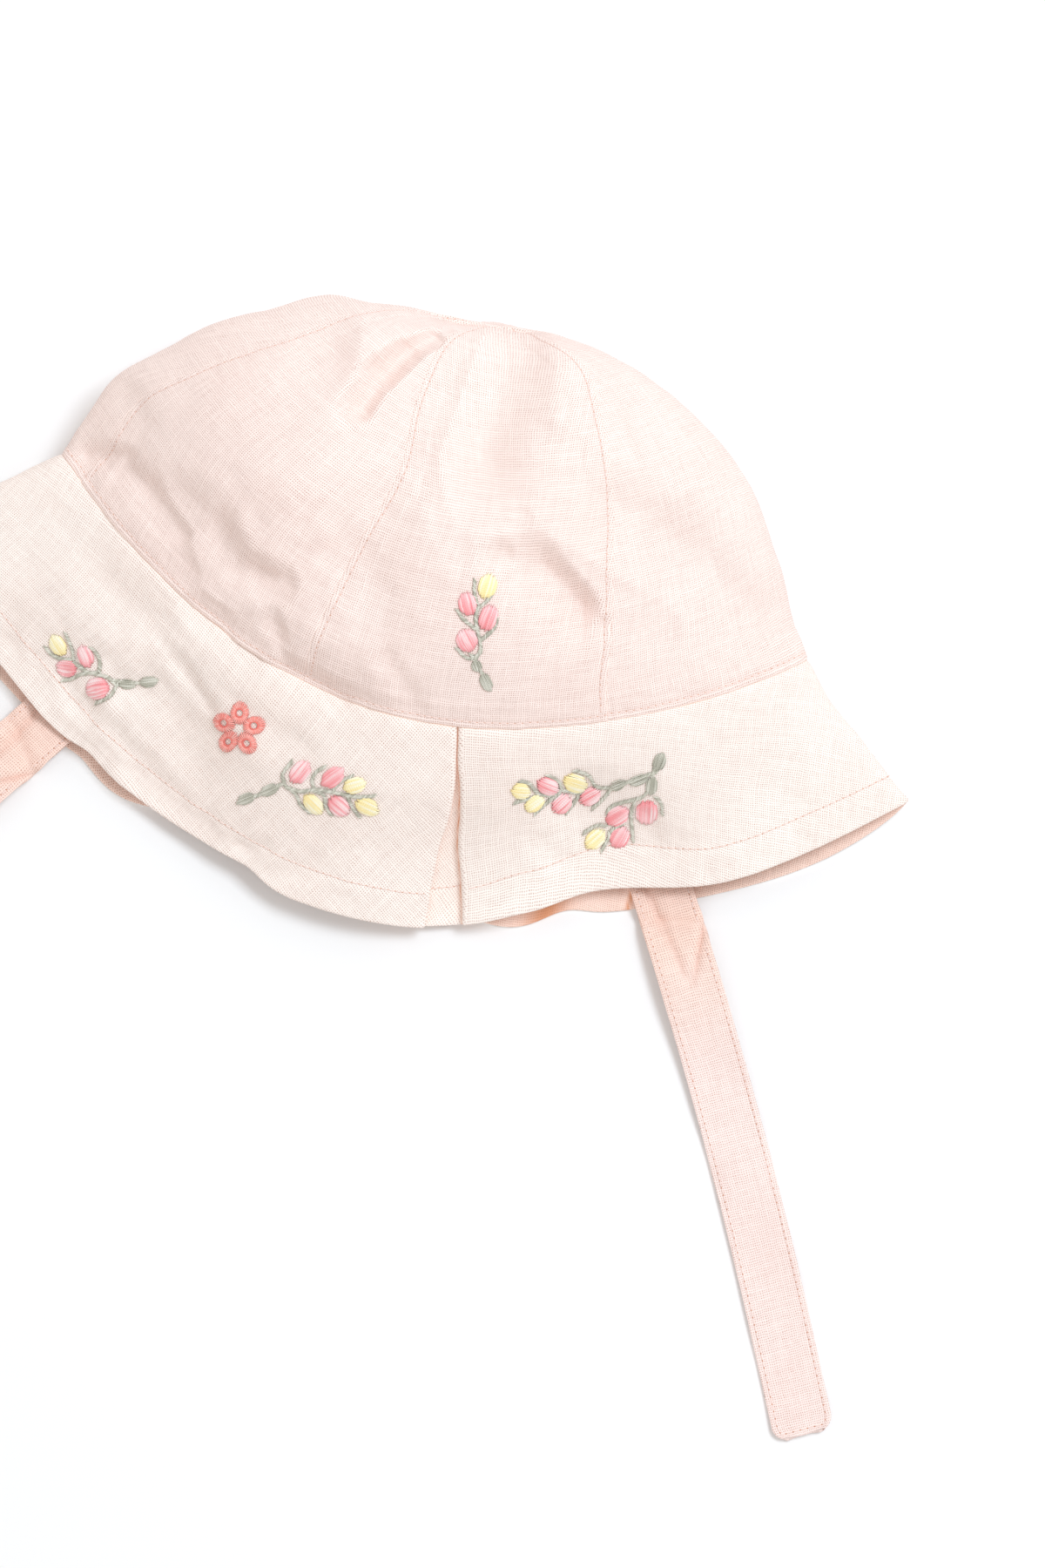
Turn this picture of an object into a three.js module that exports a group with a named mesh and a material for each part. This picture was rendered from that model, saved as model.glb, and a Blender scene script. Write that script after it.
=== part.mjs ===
// A baby's linen sun hat of six crown panels and a flared brim with an inverted pleat at the front,
// lying on its back with its two ties laid out on the same surface.
// Millimetres. +Y runs from the brim to the top of the crown, +Z up through the front of the hat.
import * as THREE from "three";

// Driving sizes
const cloth = 1.2; // thickness of a crown or brim wall, two layers of linen
const tieCloth = 1.5; // thickness of a tie, four layers of linen
const gap = 0.3; // left between neighbouring pieces
const panelCount = 6;
const pleatDepth = 13; // how far each side of the pleat folds in under its flap
const pleatStep = cloth + gap; // from one layer of the pleat to the next
const pleatMouth = 9.6; // between the two flaps at the hem
const tieWidth = 16.5;
const tieRun = 205; // from the crown seam to the tie's free end
const backSlack = 1.08; // the lying side is crumpled, so it takes this much more cloth than its outline
const originX = 5.69; // the middle of the whole object, counted from the hat's own centre line
const originY = 70.1;

// A short table: named columns, and one row for each section or fold.
const table = (columns, rows) => rows.map((row) => Object.fromEntries(columns.map((c, i) => [c, row[i]])));

// Rings round the hat, from the top of the crown (0) to the crown seam (1) and on to the hem (2).
// half: half its width. lean: its middle's X. side and rise: the Y and Z of its two ends.
// front and top: the Y and Z of its middle at the front. back and floor: the same at the back.
// arch: 1 for an oval section over the front, less for a flatter one with steeper ends.
// turn: where the front centre sits, in degrees. sideTug and frontTug: how far the two left-hand
// seams are pulled round towards the front.
const ringColumns = [
  "down", "half", "lean", "side", "rise", "front", "top", "back", "floor", "arch", "turn", "sideTug", "frontTug",
];
const crownRings = table(ringColumns, [
  [0.0, 0.0, 1.0, 62.5, 28.0, 62.5, 28.0, 62.5, 28.0, 1.0, 14.0, 0, 0],
  [0.1, 14.0, 1.0, 63.3, 27.5, 60.6, 40.0, 63.8, 15.0, 1.0, 14.0, 2, 0],
  [0.2, 29.0, 0.0, 62.3, 26.5, 53.0, 49.5, 60.0, 4.5, 1.0, 14.0, 6, 1],
  [0.35, 51.8, -3.1, 56.5, 24.5, 35.5, 57.0, 43.0, 0.3, 1.0, 10.8, 16.5, 5.5],
  [0.5, 69.6, -3.8, 47.0, 22.0, 16.0, 60.0, 23.0, 0.3, 1.0, 9.4, 13, 8.8],
  [0.65, 83.0, -3.4, 35.0, 19.5, -4.5, 58.0, 5.0, 0.3, 1.0, 8.4, 7.5, 7],
  [0.8, 92.2, -2.3, 22.0, 16.5, -23.5, 50.5, -14.0, 0.3, 1.0, 8.4, 4, 4],
  [0.9, 97.5, -1.2, 11.0, 14.5, -34.5, 44.0, -27.0, 0.3, 0.95, 8.6, 3, 1.2],
  [1.0, 103.0, -0.5, -0.5, 12.0, -44.0, 37.0, -40.0, 0.3, 0.9, 9.2, 1, 0],
]);
const brimRings = table(ringColumns, [
  [1.0, 103.0, -0.5, -0.5, 12.0, -44.0, 37.0, -40.0, 0.3, 0.9, 9.9, 0, 0],
  [1.33, 113.7, -2.2, -10.0, 9.5, -62.5, 31.0, -57.5, 0.3, 0.88, 9.9, 0, 0],
  [1.67, 126.8, -1.7, -20.0, 7.0, -81.0, 24.5, -75.5, 0.3, 0.84, 9.9, 0, 0],
  [2.0, 140.0, -1.2, -29.8, 5.0, -99.5, 18.5, -93.2, 0.3, 0.8, 9.9, 0, 0],
]);

// Folds over the front of the hat, each along a line from one point to another. A minus is a ridge.
const folds = table(["fromX", "fromY", "toX", "toY", "width", "depth"], [
  [-92, 3, -76, -2, 4, 3.5],
  [-76, -2, -65, -12, 4, 3.5],
  [-71, 2, -55, -6, 5, 3.0],
  [-55, -6, -37, -13, 5, 3.0],
  [-37, -13, -20, -24, 6, 2.5],
  [-25, -30, -3, -37, 5, -1.8],
  [-26, 28, -20, 42, 5, 3.0],
  [-20, 42, -9, 57, 4, 2.5],
  [6, 58, 12, 36, 8, 2.5],
  [-22, 6, 2, 14, 12, 2.0],
  [24, 10, 36, 5, 5, 3.0],
  [36, 5, 47, 0, 5, 2.5],
  [-74, -33, -42, -52, 8, 2.0],
]);

// Where the hem of the front brim is tucked back and dips.
const brimWaves = table(["angle", "spread", "tuck", "lift"], [
  [27, 14, 8.5, -7.0],
  [-75, 25, 2.5, 2.0],
]);

const smooth = (x) => {
  const t = Math.min(1, Math.max(0, x));
  return t * t * (3 - 2 * t);
};

// The ring at any distance down the hat: a smooth curve through the table's rows.
function ringAt(rings, down) {
  const last = rings.length - 1;
  let i = 0;
  while (i < last - 1 && rings[i + 1].down <= down) i++;
  const span = rings[i + 1].down - rings[i].down;
  const t = (down - rings[i].down) / span;
  const slope = (j, c) => {
    const steep = (k) => (rings[k + 1][c] - rings[k][c]) / (rings[k + 1].down - rings[k].down);
    if (j === 0) return steep(0);
    if (j === last) return steep(last - 1);
    const before = rings[j].down - rings[j - 1].down;
    const after = rings[j + 1].down - rings[j].down;
    return (steep(j - 1) * after + steep(j) * before) / (before + after);
  };
  const ring = {};
  for (const c of ringColumns) {
    ring[c] =
      (2 * t ** 3 - 3 * t ** 2 + 1) * rings[i][c] +
      (t ** 3 - 2 * t ** 2 + t) * span * slope(i, c) +
      (3 * t ** 2 - 2 * t ** 3) * rings[i + 1][c] +
      (t ** 3 - t ** 2) * span * slope(i + 1, c);
  }
  return ring;
}

// A point of a ring at an angle round its section: 0 at the middle of the front, 180 at the back.
function sectionPoint(ring, angle) {
  const facing = Math.cos(angle);
  const over = ring.rise + (ring.top - ring.rise) * Math.max(facing, 0) ** ring.arch;
  const flatness = 1 + 2.5 * smooth(ring.down / 0.4);
  const under = ring.rise - (ring.rise - ring.floor) * (1 - (1 + Math.min(facing, 0)) ** flatness);
  const middle = facing > 0 ? ring.front : ring.back;
  return new THREE.Vector3(
    ring.lean + ring.half * Math.sin(angle),
    ring.side + (middle - ring.side) * Math.abs(facing) ** (facing > 0 ? 2 : 1.6),
    Math.max(facing > 0 ? over : under, cloth / 2),
  );
}

// The section walked by its length of cloth, so that a panel is as wide in every pose as when cut.
const sectionSteps = 360;
function measured(ring) {
  const points = [];
  const lengths = [0];
  for (let i = 0; i <= sectionSteps; i++) {
    const angle = (i / sectionSteps) * 2 * Math.PI - Math.PI;
    points.push(sectionPoint(ring, angle));
    if (i === 0) continue;
    const slack = Math.abs(angle - Math.PI / sectionSteps) > Math.PI / 2 ? backSlack : 1;
    lengths.push(lengths[i - 1] + slack * points[i].distanceTo(points[i - 1]));
  }
  return { points, lengths, total: lengths[sectionSteps] };
}
function along(walk, length) {
  const wanted = ((length % walk.total) + walk.total) % walk.total;
  let low = 0;
  let high = sectionSteps;
  while (high - low > 1) {
    const middle = (low + high) >> 1;
    if (walk.lengths[middle] <= wanted) low = middle;
    else high = middle;
  }
  const part = (wanted - walk.lengths[low]) / (walk.lengths[high] - walk.lengths[low]);
  return walk.points[low].clone().lerp(walk.points[high], part);
}

// How far the folds press the cloth down at a place on the front of the hat.
function foldDepth(x, y) {
  let valley = 0;
  let ridge = 0;
  for (const f of folds) {
    const dx = f.toX - f.fromX;
    const dy = f.toY - f.fromY;
    const t = Math.min(1, Math.max(0, ((x - f.fromX) * dx + (y - f.fromY) * dy) / (dx * dx + dy * dy)));
    const away = Math.hypot(x - f.fromX - t * dx, y - f.fromY - t * dy) / f.width;
    const depth = f.depth * Math.exp(-away * away);
    valley = Math.max(valley, depth);
    ridge = Math.min(ridge, depth);
  }
  return valley + ridge;
}

// The middle of the cloth, by distance down the hat and millimetres round from the front centre.
const sideSeam = -1.5 / panelCount; // the left-hand seams, as turns from the front centre
const frontSeam = -0.5 / panelCount;
const tugSpread = 0.11;
const walks = new Map();
function walkAt(down) {
  if (!walks.has(down)) {
    const ring = ringAt(down < 1 ? crownRings : brimRings, down);
    const walk = measured(ring);
    const start = (ring.turn / 360 + 0.5) * sectionSteps;
    const before = Math.floor(start);
    walk.zero = walk.lengths[before] + (start - before) * (walk.lengths[before + 1] - walk.lengths[before]);
    walk.ring = ring;
    walks.set(down, walk);
  }
  return walks.get(down);
}
function clothMiddle(down, round) {
  const walk = walkAt(down);
  const turn = round / walk.total - Math.round(round / walk.total);
  const near = (seam) => Math.exp(-(((turn - seam) / tugSpread) ** 2));
  const tug = walk.ring.sideTug * near(sideSeam) + walk.ring.frontTug * near(frontSeam);
  const p = along(walk, walk.zero + round + tug);
  const frontness = smooth((p.z - walk.ring.rise) / 10);
  p.z -= frontness * foldDepth(p.x, p.y);
  const flare = smooth((down - 1) * 1.2) * frontness;
  for (const wave of brimWaves) {
    const away = (turn * 360 - wave.angle) / wave.spread;
    const share = flare * Math.exp(-away * away);
    p.y += share * wave.tuck;
    p.z += share * wave.lift;
  }
  return p;
}
const ringLength = (down) => walkAt(down).total;

// A point at a height off the middle of the cloth, outwards, and never below the surface it lies on.
function clothPoint(down, round, height) {
  const step = 0.8;
  const downStep = 0.004;
  const lower = Math.min(down + downStep, down < 1 ? 0.9999 : 2);
  const upper = Math.max(down - downStep, down < 1 ? 0.001 : 1);
  const share = round / ringLength(down);
  const alongRing = clothMiddle(down, round + step).sub(clothMiddle(down, round - step));
  const downHat = clothMiddle(lower, share * ringLength(lower)).sub(clothMiddle(upper, share * ringLength(upper)));
  const outwards = downHat.cross(alongRing).normalize();
  const p = clothMiddle(down, round).addScaledVector(outwards, height);
  p.z = Math.max(p.z, 0);
  return p;
}

// A closed wall from a grid of places: rows of [top, bottom] point pairs. A band's rows close on themselves.
function wall(rows, band) {
  const positions = [];
  const index = [];
  const width = rows[0].length;
  const id = (r, c, side) => (r * width + (c % width)) * 2 + side;
  for (const row of rows) for (const pair of row) for (const p of pair) positions.push(p.x, p.y, p.z);
  const quad = (a, b, c, d) => index.push(a, b, c, a, c, d);
  const columns = band ? width : width - 1;
  for (let c = 0; c < columns; c++) {
    for (let r = 0; r < rows.length - 1; r++) {
      quad(id(r, c, 0), id(r + 1, c, 0), id(r + 1, c + 1, 0), id(r, c + 1, 0));
      quad(id(r, c, 1), id(r, c + 1, 1), id(r + 1, c + 1, 1), id(r + 1, c, 1));
    }
    quad(id(0, c, 0), id(0, c + 1, 0), id(0, c + 1, 1), id(0, c, 1));
    const end = rows.length - 1;
    quad(id(end, c, 0), id(end, c, 1), id(end, c + 1, 1), id(end, c + 1, 0));
  }
  if (!band) {
    for (let r = 0; r < rows.length - 1; r++) {
      quad(id(r, 0, 0), id(r, 0, 1), id(r + 1, 0, 1), id(r + 1, 0, 0));
      quad(id(r, columns, 0), id(r + 1, columns, 0), id(r + 1, columns, 1), id(r, columns, 1));
    }
  }
  const geometry = new THREE.BufferGeometry();
  geometry.setAttribute("position", new THREE.Float32BufferAttribute(positions, 3));
  geometry.setIndex(index);
  return geometry;
}

// One crown panel: a gore from the top of the crown to the seam, a sixth of each ring wide.
const panelRows = 16;
const panelColumns = 10;
const crownTop = 0.012; // the six points meet round a needle's width
function panel(number) {
  const rows = [];
  for (let r = 0; r <= panelRows; r++) {
    const down = crownTop + (0.9975 - crownTop) * (r / panelRows) ** 0.9;
    const width = ringLength(down) / panelCount;
    const row = [];
    for (let c = 0; c <= panelColumns; c++) {
      const round = number * width + (c / panelColumns - 0.5) * (width - gap);
      row.push([clothPoint(down, round, cloth / 2), clothPoint(down, round, -cloth / 2)]);
    }
    rows.push(row);
  }
  return wall(rows, false);
}

// The brim: one band from the right-hand flap round the back to the left-hand flap,
// then in under that flap, across behind the notch and out under the right-hand flap.
const brimRows = 7;
const brimColumns = 60;
const foldSteps = 4;
function brim() {
  const rows = [];
  for (let r = 0; r <= brimRows; r++) {
    const down = 1.0025 + (2 - 1.0025) * (r / brimRows);
    const total = ringLength(down);
    const open = Math.max(gap, pleatMouth * smooth((down - 1.12) / 0.8));
    const foldOut = (pleatStep + cloth) / 2;
    const left = -foldOut - gap / 2;
    const right = open + foldOut;
    // The path of the cloth: millimetres round the ring, height off the flaps, and the way it faces.
    const path = [];
    const straight = (from, to, level, steps) => {
      const facing = to > from ? 1 : -1;
      for (let s = 0; s <= steps; s++) {
        path.push([from + (s / steps) * (to - from), -level * pleatStep, 0, facing]);
      }
    };
    // A half turn between two levels. side: 1 where the fold's edge points to the right.
    const halfTurn = (centre, fromLevel, toLevel, side) => {
      const rise = fromLevel - toLevel;
      for (let s = 1; s < foldSteps; s++) {
        const angle = (Math.PI * s) / foldSteps;
        const out = side * Math.sin(angle);
        const up = -rise * Math.cos(angle);
        const inwards = side * rise;
        path.push([
          centre + (out * pleatStep) / 2,
          (-(fromLevel + toLevel) / 2 + up / 2) * pleatStep,
          -out * inwards,
          -up * inwards,
        ]);
      }
    };
    straight(right, total + left, 0, brimColumns);
    halfTurn(left, 0, 1, 1);
    straight(left, left - pleatDepth, 1, 1);
    halfTurn(left - pleatDepth, 1, 2, -1);
    straight(left - pleatDepth, right + pleatDepth, 2, 4);
    halfTurn(right + pleatDepth, 2, 1, 1);
    straight(right + pleatDepth, right, 1, 1);
    halfTurn(right, 1, 0, -1);
    rows.push(
      path.map(([round, height, sideways, upwards]) => [
        clothPoint(down, round + (sideways * cloth) / 2, height + (upwards * cloth) / 2),
        clothPoint(down, round - (sideways * cloth) / 2, height - (upwards * cloth) / 2),
      ]),
    );
  }
  return wall(rows, true);
}

const linen = (r, g, b) =>
  new THREE.MeshStandardMaterial({ color: new THREE.Color(r, g, b), roughness: 0.9, metalness: 0, side: THREE.DoubleSide });
const hat = new THREE.Group();
hat.position.set(originX, originY, 0);
function add(name, geometry, material) {
  const mesh = new THREE.Mesh(geometry, material);
  mesh.name = name;
  hat.add(mesh);
}

const crownLinen = linen(0.95, 0.84, 0.8);
const panelNames = ["front", "front_right", "back_right", "back", "back_left", "front_left"];
panelNames.forEach((name, number) => add("crown_panel_" + name, panel(number), crownLinen));
add("brim", brim(), crownLinen);

// A tie: a flat strip sewn inside the crown seam, laid over the back brim and out on the surface.
const brimDepth = 53; // from the crown seam to the hem, at the back
const tieSeat = 3; // the sewn end stays this far off the seam line
const tieCorner = 4; // radius of the free end's corners
const tieSteps = 28;
const cornerSteps = 4;
const tieAcross = 4;
const ties = table(["name", "exitX", "exitY", "slant", "bow"], [
  ["tie_right", 81.5, -70.4, 30, 2],
  ["tie_left", -90.7, -71.0, -31, -2],
]);
function tie({ exitX, exitY, slant, bow }) {
  const lean = THREE.MathUtils.degToRad(slant);
  const alongX = Math.sin(lean);
  const alongY = -Math.cos(lean);
  const runs = [];
  for (let i = 0; i <= tieSteps; i++) runs.push(tieSeat + (i / tieSteps) * (tieRun - tieCorner - tieSeat));
  for (let i = 1; i <= cornerSteps; i++) {
    runs.push(tieRun - tieCorner * (1 - Math.sin((i / cornerSteps) * (Math.PI / 2))));
  }
  const overBrim = cloth + gap + tieCloth / 2;
  const rows = runs.map((run) => {
    const past = run - brimDepth;
    const hump = 1.6 * Math.exp(-(((past - 12) / 9) ** 2));
    const z = overBrim + (tieCloth / 2 - overBrim) * smooth((past - 6) / 26) + hump;
    const inCorner = Math.max(0, run - (tieRun - tieCorner));
    const half = tieWidth / 2 - tieCorner + Math.sqrt(tieCorner ** 2 - inCorner ** 2);
    const sideways = bow * Math.sin((Math.PI * Math.max(0, past)) / (tieRun - brimDepth));
    const row = [];
    for (let c = 0; c <= tieAcross; c++) {
      const off = (c / tieAcross - 0.5) * 2 * half + sideways;
      const x = exitX + alongX * past - alongY * off;
      const y = exitY + alongY * past + alongX * off;
      row.push([new THREE.Vector3(x, y, z + tieCloth / 2), new THREE.Vector3(x, y, z - tieCloth / 2)]);
    }
    return row;
  });
  return wall(rows, false);
}
for (const row of ties) add(row.name, tie(row), crownLinen);

export default hat;
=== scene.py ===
import math

import bmesh
import bpy
import numpy as np
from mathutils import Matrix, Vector, noise
from mathutils.bvhtree import BVHTree
from mathutils.kdtree import KDTree


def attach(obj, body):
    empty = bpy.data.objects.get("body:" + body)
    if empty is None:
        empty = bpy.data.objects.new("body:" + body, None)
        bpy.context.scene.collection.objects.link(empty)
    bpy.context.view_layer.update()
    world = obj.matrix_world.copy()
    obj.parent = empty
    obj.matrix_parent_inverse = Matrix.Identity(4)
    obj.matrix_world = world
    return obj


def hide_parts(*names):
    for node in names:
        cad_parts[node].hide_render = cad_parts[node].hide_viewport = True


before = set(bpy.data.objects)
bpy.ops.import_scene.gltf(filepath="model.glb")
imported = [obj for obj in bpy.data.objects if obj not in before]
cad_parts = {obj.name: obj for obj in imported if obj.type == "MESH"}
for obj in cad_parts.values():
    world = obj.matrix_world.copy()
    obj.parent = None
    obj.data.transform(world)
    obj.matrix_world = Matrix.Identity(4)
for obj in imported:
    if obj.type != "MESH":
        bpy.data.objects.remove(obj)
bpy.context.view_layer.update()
scene = bpy.context.scene


# ---------------------------------------------------------------------------------------------
# The view and the table. The hat lies on a white table top, and is looked at from straight
# above, a little turned. Light comes from a window at the upper right, and from the white room.
eye = Vector((0.0434, 0.0173, 1.4))  # metres
turned = math.radians(15.34)
camera_data = bpy.data.cameras.new("camera")
camera_data.lens = 119
camera_data.sensor_width = 36
camera = bpy.data.objects.new("camera", camera_data)
camera.location = eye
camera.rotation_euler = (0, 0, turned)
scene.collection.objects.link(camera)
scene.camera = camera
scene.view_settings.view_transform = "Standard"


def lamp(name, azimuth, elevation, distance, size, power, colour):
    data = bpy.data.lights.new(name, "AREA")
    data.shape = "RECTANGLE"
    data.size, data.size_y = size
    data.energy = power
    data.color = colour
    light = bpy.data.objects.new(name, data)
    a, e = math.radians(azimuth), math.radians(elevation)
    way = Vector((math.cos(a) * math.cos(e), math.sin(a) * math.cos(e), math.sin(e)))
    light.location = way * distance
    light.rotation_euler = way.to_track_quat("Z", "Y").to_euler()
    scene.collection.objects.link(light)


lamp("window", azimuth=54, elevation=61, distance=2.2, size=(0.8, 0.6), power=25, colour=(0.89, 0.98, 1.06))
room = bpy.data.worlds.new("room")
room.use_nodes = True
room.node_tree.nodes["Background"].inputs["Color"].default_value = (1.0, 0.965, 0.94, 1)
room.node_tree.nodes["Background"].inputs["Strength"].default_value = 0.76
scene.world = room

bm = bmesh.new()
bmesh.ops.create_grid(bm, x_segments=1, y_segments=1, size=6)
table_mesh = bpy.data.meshes.new("table_top")
bm.to_mesh(table_mesh)
bm.free()
table_top = bpy.data.objects.new("table_top", table_mesh)
scene.collection.objects.link(table_top)
table_white = bpy.data.materials.new("lit white table")
table_white.use_nodes = True
white = table_white.node_tree.nodes["Principled BSDF"].inputs
white["Base Color"].default_value = (0.86, 0.86, 0.86, 1)
white["Roughness"].default_value = 0.7
white["Emission Color"].default_value = (1, 1, 1, 1)
white["Emission Strength"].default_value = 0.04
table_mesh.materials.append(table_white)


# ---------------------------------------------------------------------------------------------
# The linen. A plain weave of slubby flax yarn, blush pink, open enough for a pinhole where four
# yarns meet. The yarns run on the cloth's own flat pattern, and no two are of one thickness.
WARP, WEFT = 0.00058, 0.00064  # from one yarn to the next, in metres


def maths(tree, operation, *terms):
    made = tree.nodes.new("ShaderNodeMath")
    made.operation = operation
    for socket, term in zip(made.inputs, terms):
        if isinstance(term, (int, float)):
            socket.default_value = term
        else:
            tree.links.new(term, socket)
    return made.outputs[0]


def mixed(tree, share, first, second, blend="MIX"):
    made = tree.nodes.new("ShaderNodeMix")
    made.data_type = "RGBA"
    made.blend_type = blend
    for socket, term in zip((made.inputs[0], made.inputs[6], made.inputs[7]), (share, first, second)):
        if isinstance(term, (int, float, tuple)):
            socket.default_value = term
        else:
            tree.links.new(term, socket)
    return made.outputs[2]


def clouds(tree, place, scale, detail, dimensions="3D"):
    made = tree.nodes.new("ShaderNodeTexNoise")
    made.noise_dimensions = dimensions
    made.inputs["Scale"].default_value = scale
    made.inputs["Detail"].default_value = detail
    tree.links.new(place, made.inputs["Vector"])
    return made.outputs


def node_group(name, inputs, outputs):
    made = bpy.data.node_groups.new(name, "ShaderNodeTree")
    for label, start in inputs.items():
        kind = "NodeSocketColor" if isinstance(start, tuple) else "NodeSocketFloat"
        made.interface.new_socket(label, in_out="INPUT", socket_type=kind).default_value = start
    for label, kind in outputs.items():
        made.interface.new_socket(label, in_out="OUTPUT", socket_type=kind)
    return made, made.nodes.new("NodeGroupInput").outputs, made.nodes.new("NodeGroupOutput").inputs


weave, weave_in, weave_out = node_group(
    "plain weave",
    {"Yarn Colour": (1.0, 1.0, 1.0, 1.0), "Pinhole Shade": (0.5, 0.3, 0.25, 1.0), "Slub": 0.15},
    {"Colour": "NodeSocketColor", "Height": "NodeSocketFloat"},
)
flat_cloth = weave.nodes.new("ShaderNodeUVMap")
flat_cloth.uv_map = "cloth"
flat_parts = weave.nodes.new("ShaderNodeSeparateXYZ")
weave.links.new(flat_cloth.outputs["UV"], flat_parts.inputs[0])
wander = weave.nodes.new("ShaderNodeSeparateColor")
weave.links.new(clouds(weave, flat_cloth.outputs["UV"], 70.0, 2.0, "2D")["Color"], wander.inputs[0])
shiver = weave.nodes.new("ShaderNodeSeparateColor")
weave.links.new(clouds(weave, flat_cloth.outputs["UV"], 600.0, 1.0, "2D")["Color"], shiver.inputs[0])
across = maths(weave, "DIVIDE", flat_parts.outputs[0], WARP)
across = maths(weave, "MULTIPLY_ADD", wander.outputs[0], 1.3, across)
across = maths(weave, "MULTIPLY_ADD", shiver.outputs[0], 0.6, across)
along = maths(weave, "DIVIDE", flat_parts.outputs[1], WEFT)
along = maths(weave, "MULTIPLY_ADD", wander.outputs[1], 1.3, along)
along = maths(weave, "MULTIPLY_ADD", shiver.outputs[1], 0.6, along)


def yarn_set(own, other, sign, seed):
    """One set of yarns, counted by own and running along other: its height, its bulge and its slubs."""
    number = maths(weave, "FLOOR", own)
    spot = weave.nodes.new("ShaderNodeCombineXYZ")
    weave.links.new(maths(weave, "MULTIPLY", number, 3.71), spot.inputs[0])
    weave.links.new(maths(weave, "MULTIPLY", other, 0.045), spot.inputs[1])
    spot.inputs[2].default_value = seed
    slubs = clouds(weave, spot.outputs[0], 1.0, 2.0)["Fac"]
    half_width = maths(weave, "MULTIPLY_ADD", slubs, 0.24, 0.24)
    off = maths(weave, "ABSOLUTE", maths(weave, "SUBTRACT", maths(weave, "FRACT", own), 0.5))
    off = maths(weave, "DIVIDE", off, half_width)
    bulge = maths(weave, "SUBTRACT", 1.0, maths(weave, "POWER", off, 2.0))
    bulge = maths(weave, "MAXIMUM", bulge, 0.0)
    step = maths(weave, "ADD", maths(weave, "SUBTRACT", other, 0.5), number)
    rise = maths(weave, "COSINE", maths(weave, "MULTIPLY", step, math.pi))
    over = maths(weave, "MULTIPLY_ADD", rise, 0.22 * sign, 0.78)
    return maths(weave, "MULTIPLY", bulge, over), bulge, slubs


warp, warp_bulge, warp_slubs = yarn_set(across, along, 1, 2.0)
weft, weft_bulge, weft_slubs = yarn_set(along, across, -1, 9.0)
cloth_height = maths(weave, "MAXIMUM", warp, weft)
warp_on_top = maths(weave, "GREATER_THAN", warp, weft)
slub_gap = maths(weave, "SUBTRACT", warp_slubs, weft_slubs)
slubs = maths(weave, "MULTIPLY_ADD", slub_gap, warp_on_top, weft_slubs)
# Yarns vary in tone with their slubs, then are lighter where they stand high and darker down between them, a
# painted shade in the weave's crevices.
tone_and_crevice_shade = maths(weave, "MULTIPLY_ADD", maths(weave, "SUBTRACT", slubs, 0.5), weave_in["Slub"], 0.79)
tone_and_crevice_shade = maths(weave, "MULTIPLY_ADD", maths(weave, "POWER", cloth_height, 0.7), 0.25, tone_and_crevice_shade)
yarn_tone_and_shade = weave.nodes.new("ShaderNodeVectorMath")
yarn_tone_and_shade.operation = "SCALE"
weave.links.new(weave_in["Yarn Colour"], yarn_tone_and_shade.inputs[0])
weave.links.new(tone_and_crevice_shade, yarn_tone_and_shade.inputs["Scale"])
# The pinholes are given a dark brown colour: painted shade where light does not reach between the yarns.
pinhole = weave.nodes.new("ShaderNodeMapRange")
pinhole.inputs["From Min"].default_value = 0.5
pinhole.inputs["From Max"].default_value = 0.0
weave.links.new(maths(weave, "MAXIMUM", warp_bulge, weft_bulge), pinhole.inputs["Value"])
openness = maths(weave, "MULTIPLY_ADD", shiver.outputs[2], 1.1, 0.1)
pinhole_share = maths(weave, "MULTIPLY", pinhole.outputs[0], openness)
pinhole_share.node.use_clamp = True
woven_colour = mixed(weave, pinhole_share, yarn_tone_and_shade.outputs[0], weave_in["Pinhole Shade"])
weave.links.new(woven_colour, weave_out["Colour"])
weave.links.new(cloth_height, weave_out["Height"])


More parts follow.
